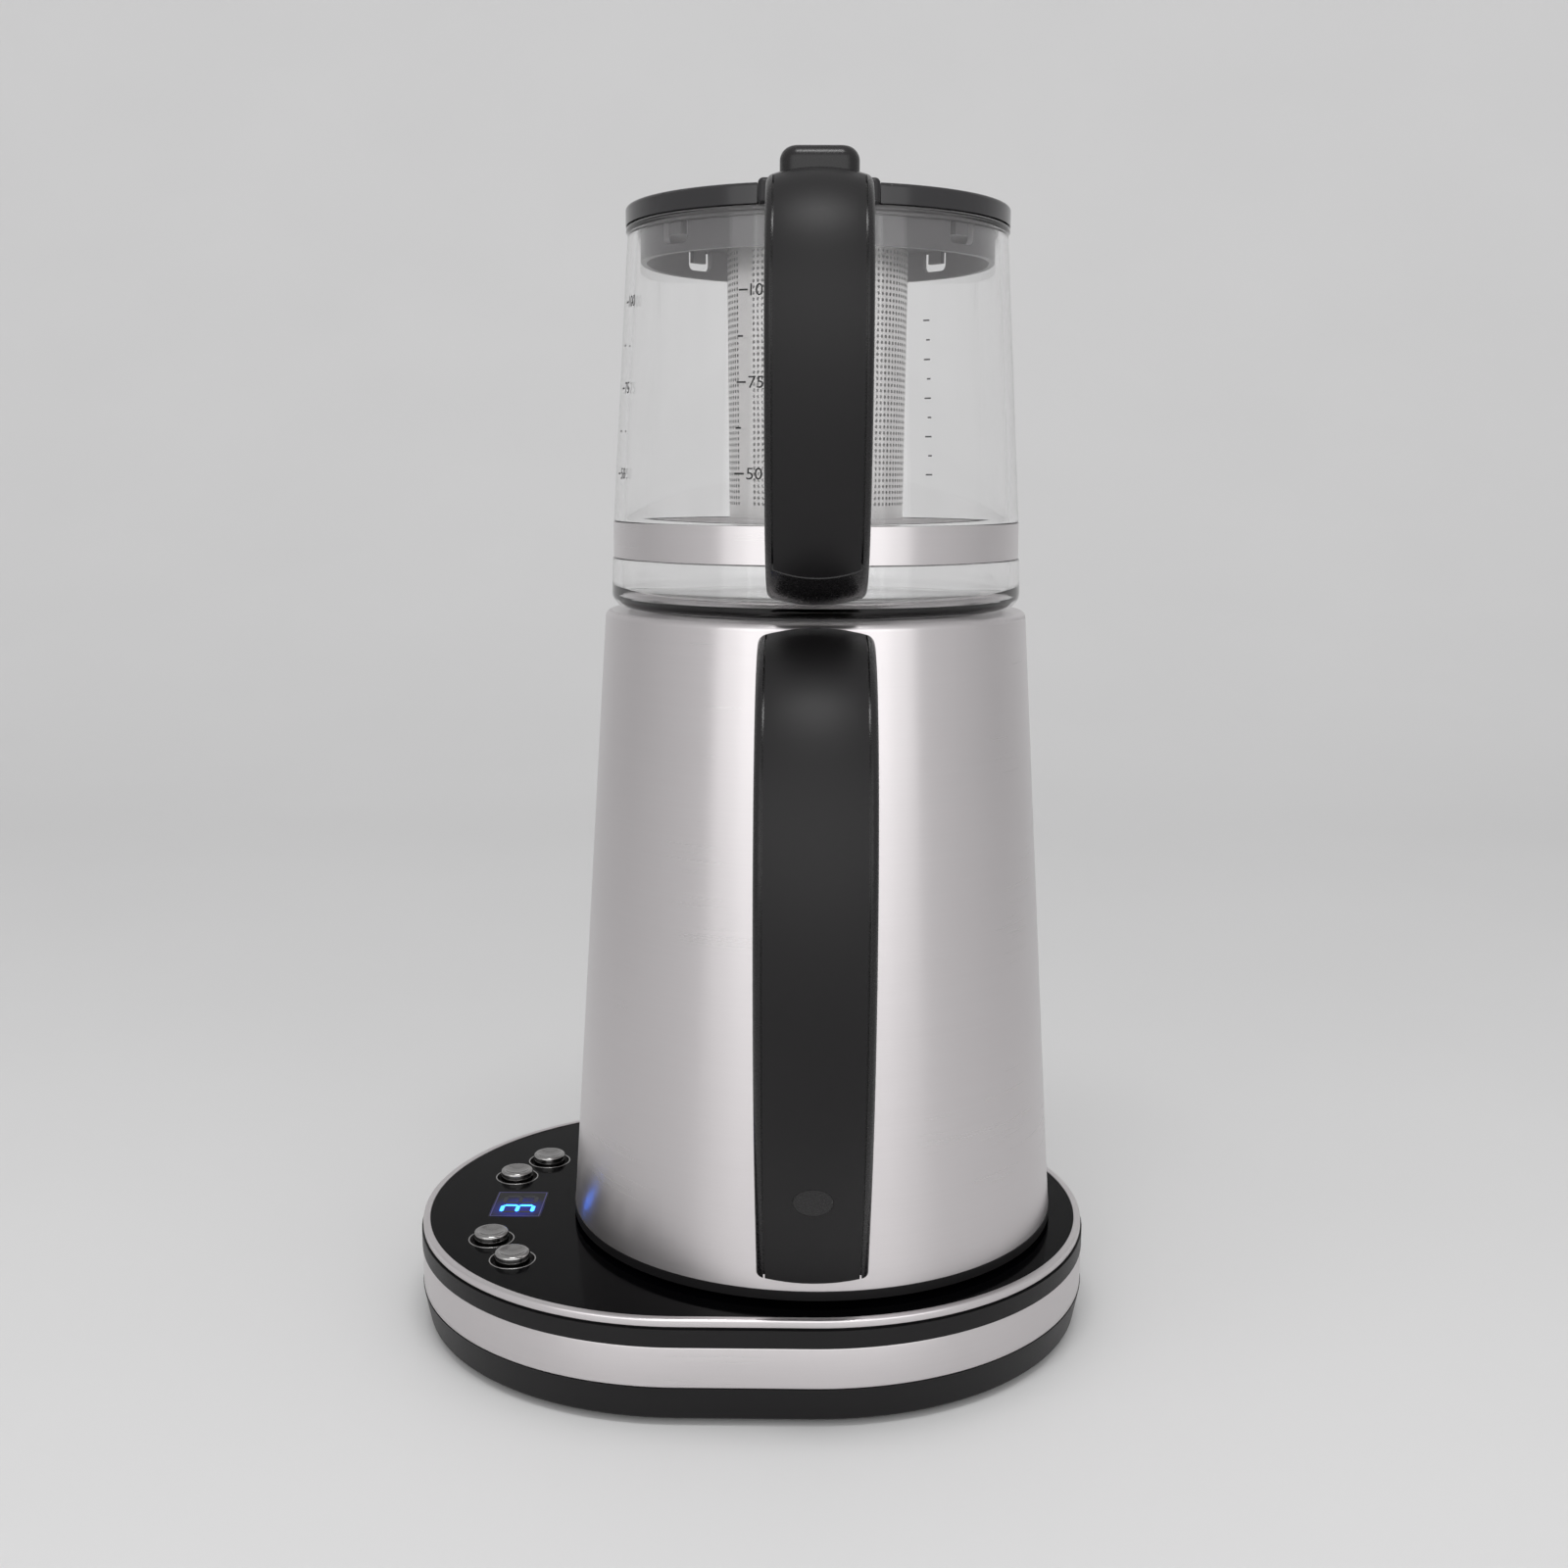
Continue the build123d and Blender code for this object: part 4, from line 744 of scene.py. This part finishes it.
# -------------------------------------- operators
class TEAMAKER_OT_stage(bpy.types.Operator):
    """Floor, lamps and camera"""

    bl_idname = "teamaker.stage"
    bl_label = "Stage"

    def execute(self, context):
        # Floor that turns up behind in a quarter circle, from level to upright
        bend = np.linspace(0, math.pi / 2, 48)
        away = FLOOR_LEVEL + FLOOR_BEND * np.sin(bend)
        height = FLOOR_BEND - (FLOOR_BEND + FLOOR_GAP) * np.cos(bend)
        start, end = (-FLOOR_REACH, -FLOOR_GAP), (FLOOR_LEVEL + FLOOR_BEND, FLOOR_TOP)
        profile = np.concatenate(([start], np.stack((away, height), -1), [end]))
        across = np.linspace(-FLOOR_REACH, FLOOR_REACH, 3)
        grid = np.stack(
            np.broadcast_arrays(across[None, :], profile[:, :1], profile[:, 1:]), -1
        )
        points, faces = patch(grid, loop=False)
        mesh = bpy.data.meshes.new("studio_floor")
        mesh.from_pydata((points / 1000).tolist(), [], faces[:, ::-1].tolist())
        mesh.shade_smooth()
        floor = bpy.data.objects.new("studio_floor", mesh)
        context.scene.collection.objects.link(floor)
        mesh.materials.append(finish("floor"))

        for name, (place, turn, size, power) in LAMPS.items():
            lamp = bpy.data.lights.new(name, "AREA")
            lamp.shape = "RECTANGLE"
            lamp.size, lamp.size_y = size
            lamp.energy = power
            holder = bpy.data.objects.new(name, lamp)
            holder.location = place
            holder.rotation_euler = [math.radians(angle) for angle in turn]
            context.scene.collection.objects.link(holder)

        # Room light: brighter in front of the tea maker than behind it
        world = bpy.data.worlds.new("studio_air")
        world.use_nodes = True
        tree = world.node_tree
        tree.nodes.clear()
        facing = add_node(tree, "TexCoord").outputs["Generated"]
        along = add_node(tree, "SeparateXYZ", {"Vector": facing}).outputs["Y"]
        given = {"Color": (1, 0.995, 1, 1), "Strength": span(tree, along, *AIR, -1.0, 1.0)}
        air = add_node(tree, "Background", given)
        add_node(tree, "OutputWorld", {"Surface": air.outputs["Background"]})
        context.scene.world = world

        lens = bpy.data.cameras.new("view")
        lens.sensor_width = 36.0
        lens.lens = LENS
        camera = bpy.data.objects.new("view", lens)
        camera.matrix_world = (
            Matrix.Rotation(CAMERA_TURN, 4, "Z")
            @ Matrix.Translation(CAMERA_PLACE)
            @ Matrix.Rotation(CAMERA_TILT, 4, "X")
            @ Matrix.Rotation(CAMERA_ROLL, 4, "Z")
        )
        context.scene.collection.objects.link(camera)
        context.scene.camera = camera
        context.scene.view_settings.view_transform = "Standard"
        return {"FINISHED"}


class TEAMAKER_OT_base(bpy.types.Operator):
    """Housings, steel band, steel rim, gloss panel, feet and cord bush"""

    bl_idname = "teamaker.base"
    bl_label = "Base"

    def execute(self, context):
        edge = sizes().edge_round * 1000
        low, high = bottom_of("base_band"), top_of("base_band")
        sides = (-0.5, low, 0), (0.3, low, edge), (0.3, high, edge), (-0.5, high, 0)
        band = rounded(sides)
        stand_in("base_band_brushed", "base_band", [patch(round_base(band), ring=True)])

        low, high = bottom_of("panel_rim"), top_of("panel_rim")
        rim = rounded(
            [
                (-0.8, low, 0),
                (0.0, low, edge / 2),
                (0.0, high, edge * 1.6),
                (-2.2, high, edge / 2),
                (-2.2, high - 0.6, 0),
                (-0.8, high - 0.6, 0),
            ]
        )
        stand_in("panel_rim_brushed", "panel_rim", [patch(round_base(rim), ring=True)])
        dress(
            "base_bottom_housing",
            "base_upper_housing",
            "top_panel",
            "foot_ring",
            "rubber_pads",
            "housing_screws",
            "cord_bush",
        )
        return {"FINISHED"}


class TEAMAKER_OT_controls(bpy.types.Operator):
    """Push buttons, their bezels, the display and its lit figure"""

    bl_idname = "teamaker.controls"
    bl_label = "Controls"

    def execute(self, context):
        dish = sizes().button_dish * 1000
        top, foot = top_of("button_1"), bottom_of("button_1")
        # Dished cap: the top sinks by dish times (1 - (r / R) squared) inside its edge
        reach = np.linspace(0, BUTTON_RADIUS - BUTTON_EDGE, 14)
        sunk = top - dish * (1 - (reach / reach[-1]) ** 2)
        cap = rounded(
            [
                (BUTTON_RADIUS - BUTTON_EDGE, top, 0),
                (BUTTON_RADIUS, top, BUTTON_ROUND),
                (BUTTON_RADIUS, top - BUTTON_HEAD, 0.2),
                (BUTTON_STEM_RADIUS, top - BUTTON_HEAD, 0),
                (BUTTON_STEM_RADIUS, foot, 0),
                (0.0, foot, 0),
            ]
        )
        outline = np.concatenate((np.stack((reach, sunk), -1), cap[1:]))
        for index, place in enumerate(BUTTON_PLACES, start=1):
            button = f"button_{index}"
            stand_in(f"{button}_cap", button, [patch(lathe(outline, 96, place))])
        low, high = bottom_of("button_bezels"), top_of("button_bezels")
        ring = rounded(
            [
                (WELL_RADIUS - BEZEL_WIDTH, low, 0),
                (WELL_RADIUS, low, 0),
                (WELL_RADIUS, high, 0.12),
                (WELL_RADIUS - BEZEL_WIDTH, high, 0.12),
            ],
            3,
        )
        rings = [patch(lathe(ring, 96, place), ring=True) for place in BUTTON_PLACES]
        stand_in("button_bezels_ringed", "button_bezels", rings)
        dress("display_window", "display_module", "control_board", "tact_switches")

        # Figures lying on their side, on the window
        width = sizes().segment_width * 1000
        face = top_of("display_window")

        def bars(ends):
            """Six-sided prisms, each between two ends with a small gap to its neighbours."""
            start, end = np.array(ends, float).transpose(1, 0, 2)
            along = end - start
            along /= np.linalg.norm(along, axis=1, keepdims=True)
            side = along[:, ::-1] * (-1, 1) * width / 2
            start, end = start + along * BAR_GAP, end - along * BAR_GAP
            inner = along * width / 2
            outline = (
                start,
                start + inner - side,
                end - inner - side,
                end,
                end - inner + side,
                start + inner + side,
            )
            return prisms(np.stack(outline, 1), face, face + BAR_LIFT)

        def digit(sides, keys):
            """The ends of a digit's bars, named a to g in the usual order."""
            (left, right), (low_y, high_y) = DIGIT_ENDS, sides
            middle = (left + right) / 2
            strokes = {
                "a": ((left, low_y), (left, high_y)),
                "g": ((middle, low_y), (middle, high_y)),
                "d": ((right, low_y), (right, high_y)),
                "b": ((left, high_y), (middle, high_y)),
                "c": ((middle, high_y), (right, high_y)),
                "f": ((left, low_y), (middle, low_y)),
                "e": ((middle, low_y), (right, low_y)),
            }
            return [strokes[key] for key in keys]

        lit = digit(LIT_DIGIT_SIDES, "agdbc")
        dark = digit(LIT_DIGIT_SIDES, "fe") + digit(DARK_DIGIT_SIDES, "agdbcfe")
        solid("display_lit_bars", "base", "display_smoke", [bars(lit)], look="lit")
        solid("display_dark_bars", "base", "display_smoke", [bars(dark)], look="unlit")

        # Thin frame: a square section carried round the window's edge
        half_x, half_y = (side / 2 - FRAME_INSET for side in WINDOW_SIZE)
        offsets = np.array(
            [(0, 0), (0, FRAME_LIFT), (-FRAME_WIDTH, FRAME_LIFT), (-FRAME_WIDTH, 0)]
        )
        signs = np.array([(-1, -1), (1, -1), (1, 1), (-1, 1)])
        flat = signs * (half_x, half_y) + signs * offsets[:, None, :1]
        grid = np.concatenate(
            (flat + WINDOW, face + 0 * flat[..., :1] + offsets[:, None, 1:]), -1
        )
        frame_line = [patch(grid, ring=True)]
        solid("display_frame_line", "base", "display_smoke", frame_line, look="window_frame")
        return {"FINISHED"}


class TEAMAKER_OT_kettle(bpy.types.Operator):
    """Brushed steel kettle with its foot, spout and mouth"""

    bl_idname = "teamaker.kettle"
    bl_label = "Kettle"

    def execute(self, context):
        dress(
            "kettle_shell",
            "kettle_bottom_cover",
            "bottom_screws",
            "mouth_ring",
            "seat_gasket",
            "kettle_spout",
            "spout_strainer",
        )
        return {"FINISHED"}


class TEAMAKER_OT_handles(bpy.types.Operator):
    """Both handles, their covers, plug and release button with its spring"""

    bl_idname = "teamaker.handles"
    bl_label = "Handles"

    def execute(self, context):
        dress(
            "kettle_handle_cover",
            "kettle_handle_plug",
            "kettle_handle_frame",
            "kettle_handle_screws",
            "jug_handle_cover",
            "jug_handle_frame",
            "jug_handle_screw",
            "release_button",
        )
        # Coil spring: a circle carried along a helix. With t along the wire, the middle is
        # (R cos t, R sin t, rise t), and each ring stands on the outward and upward lines
        low, high = bottom_of("release_spring"), top_of("release_spring")
        turn = np.linspace(0, math.tau * SPRING_TURNS, SPRING_TURNS * 40)
        share = np.linspace(0, 1, len(turn))[:, None]
        outward = np.stack((np.cos(turn), np.sin(turn), 0 * turn), -1)
        middle = outward * SPRING_RADIUS + (*SPRING_CENTRE, low + SPRING_WIRE)
        middle = middle + share * (0, 0, high - low - 2 * SPRING_WIRE)
        round_wire = np.linspace(0, math.tau, 12, endpoint=False)
        wire = np.full((len(turn), 1, 1), SPRING_WIRE)
        wire[[0, -1]] = 0
        grid = middle[:, None] + wire * (
            outward[:, None] * np.cos(round_wire)[:, None]
            + np.array((0, 0, 1)) * np.sin(round_wire)[:, None]
        )
        spring = stand_in("release_spring_coil", "release_spring", [patch(grid)])
        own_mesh(spring)
        return {"FINISHED"}


def smooth_max(first, second, reach):
    """The larger of two, with their crossing rounded: max + h squared * reach / 4, where h
    is 1 at the crossing and 0 where they are reach apart."""
    share = np.clip(reach - np.abs(first - second), 0, None) / reach
    return np.maximum(first, second) + share**2 * reach / 4


def jug_wall_radius(height):
    """Outside radius of the glass above its band."""
    share = (height - JUG_WAIST) / (JUG_BEAD_BOTTOM - JUG_WAIST)
    return JUG_WAIST_RADIUS + share * (JUG_LIP_RADIUS - JUG_WAIST_RADIUS)


def beak_radius(angles, height, shrink):
    """Distance from the axis to a leaning cone at the back: its circle at each height has
    centre (0, yc) and radius R, so the far side is yc cos f + root(R squared - (yc sin f)
    squared) at an angle f from +Y."""
    share = (height - BEAK_FOOT) / (JUG_TOP - BEAK_FOOT)
    start = jug_wall_radius(BEAK_FOOT) - BEAK_FOOT_RADIUS
    end = JUG_LIP_RADIUS - BEAK_FOOT_RADIUS
    middle = start + share * (end - start)
    radius = BEAK_FOOT_RADIUS + share * (BEAK_RADIUS - BEAK_FOOT_RADIUS) - shrink
    radius = np.clip(radius, 0, None)
    turned = angles - math.pi / 2
    inside = radius**2 - (middle * np.sin(turned)) ** 2
    return middle * np.cos(turned) + np.sqrt(np.clip(inside, 0, None))


def text_mesh(words, height, thick):
    """Text as triangles: points in millimetres, x from its left edge, y from its middle and
    z from half its thickness, with the text as high as height."""
    curve = bpy.data.curves.new("words", "FONT")
    curve.body = words
    curve.size = 1.0
    curve.extrude = 0.1
    curve.resolution_u = 3
    holder = bpy.data.objects.new("words", curve)
    bpy.context.scene.collection.objects.link(holder)
    graph = bpy.context.evaluated_depsgraph_get()
    mesh = bpy.data.meshes.new_from_object(holder.evaluated_get(graph))
    bpy.data.objects.remove(holder)
    bpy.data.curves.remove(curve)
    work = bmesh.new()
    work.from_mesh(mesh)
    bmesh.ops.triangulate(work, faces=work.faces)
    work.to_mesh(mesh)
    work.free()
    points = np.array([vertex.co for vertex in mesh.vertices])
    faces = np.array([face.vertices for face in mesh.polygons])
    bpy.data.meshes.remove(mesh)
    low, high = points.min(0), points.max(0)
    points = points - (low[0], (low[1] + high[1]) / 2, 0)
    points = points * (*(height / (high - low)[1],) * 2, thick / (high - low)[2])
    return points, faces


class TEAMAKER_OT_jug(bpy.types.Operator):
    """Glass jug with its beak, steel band and printed scales"""

    bl_idname = "teamaker.jug"
    bl_label = "Jug"

    def execute(self, context):
        # Turned body: outline up the outside, over the lip and down the inside
        outline = rounded(
            [
                (0, JUG_BOTTOM, 0),
                (JUG_FOOT_RADIUS, JUG_BOTTOM, JUG_FOOT_ROUND),
                (JUG_FOOT_RADIUS - JUG_BEAD, JUG_GROOVE_BOTTOM, 0.4),
                (JUG_GROOVE_RADIUS, JUG_GROOVE_BOTTOM, 0.2),
                (JUG_GROOVE_RADIUS, JUG_WAIST, 0.2),
                (JUG_WAIST_RADIUS, JUG_WAIST, 0.4),
                (JUG_LIP_RADIUS, JUG_BEAD_BOTTOM, 0.5),
                (JUG_LIP_RADIUS + JUG_BEAD, JUG_BEAD_BOTTOM + 0.8, 0.3),
                (JUG_LIP_RADIUS + JUG_BEAD, JUG_TOP, 0.6),
                (JUG_LIP_RADIUS - JUG_WALL, JUG_TOP, 1.0),
                (JUG_WAIST_RADIUS - JUG_WALL, JUG_WAIST, 6.0),
                (JUG_FOOT_RADIUS - JUG_WALL, JUG_BOTTOM + JUG_FLOOR, JUG_HOLLOW_ROUND),
                (0, JUG_BOTTOM + JUG_FLOOR, 0),
            ],
            8,
        )
        # About a row for each millimetre of height, and more columns towards the beak
        fine = []
        for start, end in zip(outline[:-1], outline[1:]):
            parts = max(1, int(abs(end[1] - start[1]) // 1.0))
            fine.append(start + (end - start) * np.arange(parts)[:, None] / parts)
        outline = np.concatenate((*fine, outline[-1:]))
        columns = np.arange(320) / 320 * math.tau
        angles = math.pi / 2 + columns - 0.75 * np.sin(columns)
        radius, height = outline[:, :1], outline[:, 1:]
        # How far round the lip a row is, from 0 outside to 1 inside
        crest = int(np.argmax(outline[:, 1] + 0.001 * np.arange(len(outline))))
        lip = np.where(outline[:, 1] > JUG_TOP - 0.01)[0]
        inside = np.clip((np.arange(len(outline)) - lip[0]) / (lip[-1] - lip[0]), 0, 1)
        inside = np.where(np.arange(len(outline)) > crest, 1.0, inside)[:, None]
        shell = jug_wall_radius(height) + 0 * angles
        swell = smooth_max(shell, beak_radius(angles, height, 0.0), BEAK_BLEND) - shell
        hollow = shell - JUG_WALL
        inner = beak_radius(angles, height, BEAK_WALL)
        sink = smooth_max(hollow, inner, BEAK_BLEND) - hollow
        # The beak grows in over 3 mm, from 6 mm below its foot
        above = np.clip((height - BEAK_FOOT + 6) / 3, 0, 1)
        radius = radius + above * ((1 - inside) * swell + inside * sink)
        stand_in("glass_jug_blown", "glass_jug", [patch(polar(radius, angles, height))], 40)
        dress("jug_band")

        # Printed scales. Each tick starts at an angle and a level and runs round the glass,
        # as a bar with a square section that closes to a line at both ends
        width = sizes().mark_width * 1000
        thick = sizes().print_thickness * 1000
        ticks = [
            (side, level, SHORT_TICK if index % 2 else LONG_TICK)
            for side, pitch, count in SCALES
            for index, level in enumerate(SCALE_FOOT + pitch * np.arange(count))
        ]
        start, level, long = np.array(ticks).T[:, :, None, None]
        steps = np.concatenate(([0], np.linspace(0, 1, 6), [1]))
        ring = np.array([(1, 1), (1, -1), (0, -1), (0, 1)], float)
        close = np.ones(len(steps))
        close[[0, -1]] = 0
        height = level + ring[:, 1:] * width / 2 * close
        radius = jug_wall_radius(height) + PRINT_LIFT + thick * (
            0.5 + (ring[:, :1] - 0.5) * close
        )
        turned = np.radians(start) + long * steps / JUG_LIP_RADIUS
        patches = [patch(polar(radius, turned, height), ring=True, loop=False)]

        # Numbers beside the long ticks: text turned to a mesh, then rolled round the glass
        for side in NUMBERED_SCALES:
            for index, number in enumerate(("50", "75", "100")):
                flat, faces = text_mesh(number, sizes().number_height * 1000, thick)
                height = SCALE_FOOT + NUMBER_STEP * index + flat[:, 1]
                turned = math.radians(side) + (NUMBER_GAP + flat[:, 0]) / JUG_LIP_RADIUS
                radius = jug_wall_radius(height) + PRINT_LIFT + thick / 2 + flat[:, 2]
                patches.append((polar(radius, turned, height), faces))
        solid("jug_scales", "jug", "jug_glass", patches, look="print")
        return {"FINISHED"}


class TEAMAKER_OT_infuser(bpy.types.Operator):
    """Pierced steel basket, its base, collar and seal"""

    bl_idname = "teamaker.infuser"
    bl_label = "Infuser"

    def execute(self, context):
        # Real holes are about 1 mm apart. They are drawn coarser, so that they show and
        # each half of the basket stays light
        size = sizes()
        pitch, hole = size.hole_pitch * 1000, size.hole_radius * 1000
        low, high = bottom_of("infuser_basket"), top_of("infuser_basket")
        wall, plate, turn = BASKET_WALL, high - BASKET_FLANGE, math.radians(STRIP_PLACE)
        around = math.tau * BASKET_TOP_RADIUS
        columns = int((around - size.plain_strip * 1000) // pitch)
        rows = int((plate - low - BASKET_PLAIN_ENDS) // pitch)
        strip, start_v = around - columns * pitch, low + BASKET_PLAIN_FOOT
        step = np.arange(8) * math.pi / 4
        circle = np.stack((np.cos(step), np.sin(step)), -1)
        square = circle / np.abs(circle).max(1, keepdims=True) * pitch / 2
        circle = circle * hole
        lines_v = np.concatenate(
            ([low], start_v + np.arange(2 * rows + 1) * pitch / 2, [plate])
        )

        def wrapped(u, v, inward):
            """Rolls the unrolled sheet up: the angle is u over the radius, from the strip's
            place, and the radius narrows evenly towards the foot."""
            share = (v - low) / (plate - low)
            radius = BASKET_FOOT_RADIUS + share * (BASKET_TOP_RADIUS - BASKET_FOOT_RADIUS)
            return polar(radius - inward, turn + (u - strip / 2) / BASKET_TOP_RADIUS, v)

        def half(first, last, lead):
            """Part of the wall, u running round it and v up it. Each pierced cell is a
            square of eight points joined to the eight points of its hole. The plain rest is
            a grid outside and inside, joined along its border."""
            centre_u = strip + (np.arange(first, last) + 0.5) * pitch
            centre_v = start_v + (np.arange(rows) + 0.5) * pitch
            centres = np.stack(np.meshgrid(centre_u, centre_v), -1).reshape(-1, 1, 2)
            cells = centres[:, None] + np.stack((square, circle, circle, square))
            depth = np.broadcast_to(np.array((0, 0, wall, wall))[:, None], cells.shape[:3])
            patches = [patch(wrapped(cells[..., 0], cells[..., 1], depth))]
            lines_u = strip + np.arange(2 * first, 2 * last + 1) * pitch / 2
            lines_u = np.concatenate((np.zeros(lead), lines_u))
            grid_u, grid_v = np.meshgrid(lines_u, lines_v)
            sheet = quads(*grid_u.shape, loop=False)
            row, column = np.divmod(np.arange(len(sheet)), len(lines_u) - 1)
            plain = (row < 1) | (row > 2 * rows) | (column < lead)
            sides = [wrapped(grid_u, grid_v, inward) for inward in (0.0, wall)]
            patches += [(side.reshape(-1, 3), sheet[plain]) for side in sides]
            border = [
                np.concatenate((side[0], side[1:, -1], side[-1, -2::-1], side[-2:0:-1, 0]))
                for side in sides
            ]
            return patches + [patch(np.stack(border))]

        middle = columns // 2 + 1
        stand_in("infuser_basket_front", "infuser_basket", half(0, middle, 1), 40)
        stand_in("infuser_basket_back", "infuser_basket", half(middle, columns, 0), 40)
        rim = rounded(
            [
                (BASKET_TOP_RADIUS - wall, plate, 0),
                (BASKET_FLANGE_RADIUS, plate, 0.2),
                (BASKET_FLANGE_RADIUS, high, 0.2),
                (BASKET_TOP_RADIUS - wall, high, 0.3),
            ]
        )
        flange = [patch(lathe(rim, 240), ring=True)]
        stand_in("infuser_basket_flange", "infuser_basket", flange, 40)
        dress("basket_base", "infuser_collar", "collar_seal", "hinge_pin")
        return {"FINISHED"}


class TEAMAKER_OT_lid(bpy.types.Operator):
    """Lid and its seal"""

    bl_idname = "teamaker.lid"
    bl_label = "Lid"

    def execute(self, context):
        dress("lid_cover", "lid_seal")
        return {"FINISHED"}


class TEAMAKER_OT_inside(bpy.types.Operator):
    """Boards, dock and heater inside the base and the kettle"""

    bl_idname = "teamaker.inside"
    bl_label = "Inside"

    def execute(self, context):
        dress(
            "power_board",
            "power_components",
            "buzzer",
            "dock_connector",
            "dock_contacts",
            "dock_shroud",
            "heater_plate",
            "heating_element",
            "kettle_socket",
            "temperature_probe",
        )
        return {"FINISHED"}


class TEAMAKER_PT_panel(bpy.types.Panel):
    """Sizes, colours and steps of the tea maker"""

    bl_label = "Tea Maker"
    bl_space_type = "VIEW_3D"
    bl_region_type = "UI"
    bl_category = "Tea Maker"

    def draw(self, context):
        for title, group in (("Sizes", sizes()), ("Colours", colours())):
            box = self.layout.box()
            box.label(text=title)
            for name in group.__annotations__:
                box.prop(group, name)
        for operator in OPERATORS:
            self.layout.operator(operator.bl_idname)


OPERATORS = (
    TEAMAKER_OT_stage,
    TEAMAKER_OT_base,
    TEAMAKER_OT_controls,
    TEAMAKER_OT_kettle,
    TEAMAKER_OT_handles,
    TEAMAKER_OT_jug,
    TEAMAKER_OT_infuser,
    TEAMAKER_OT_lid,
    TEAMAKER_OT_inside,
)
CLASSES = (TeaMakerSizes, TeaMakerColours, *OPERATORS, TEAMAKER_PT_panel)


def register():
    """Adds the classes and the scene's two property groups."""
    for each in CLASSES:
        bpy.utils.register_class(each)
    bpy.types.Scene.tea_maker_sizes = bpy.props.PointerProperty(type=TeaMakerSizes)
    bpy.types.Scene.tea_maker_colours = bpy.props.PointerProperty(type=TeaMakerColours)


def unregister():
    """Takes them away again."""
    del bpy.types.Scene.tea_maker_colours
    del bpy.types.Scene.tea_maker_sizes
    for each in reversed(CLASSES):
        bpy.utils.unregister_class(each)


def main():
    """Runs every operator in turn."""
    register()
    for operator in OPERATORS:
        group, step = operator.bl_idname.split(".")
        getattr(getattr(bpy.ops, group), step)()


if __name__ == "__main__":
    main()
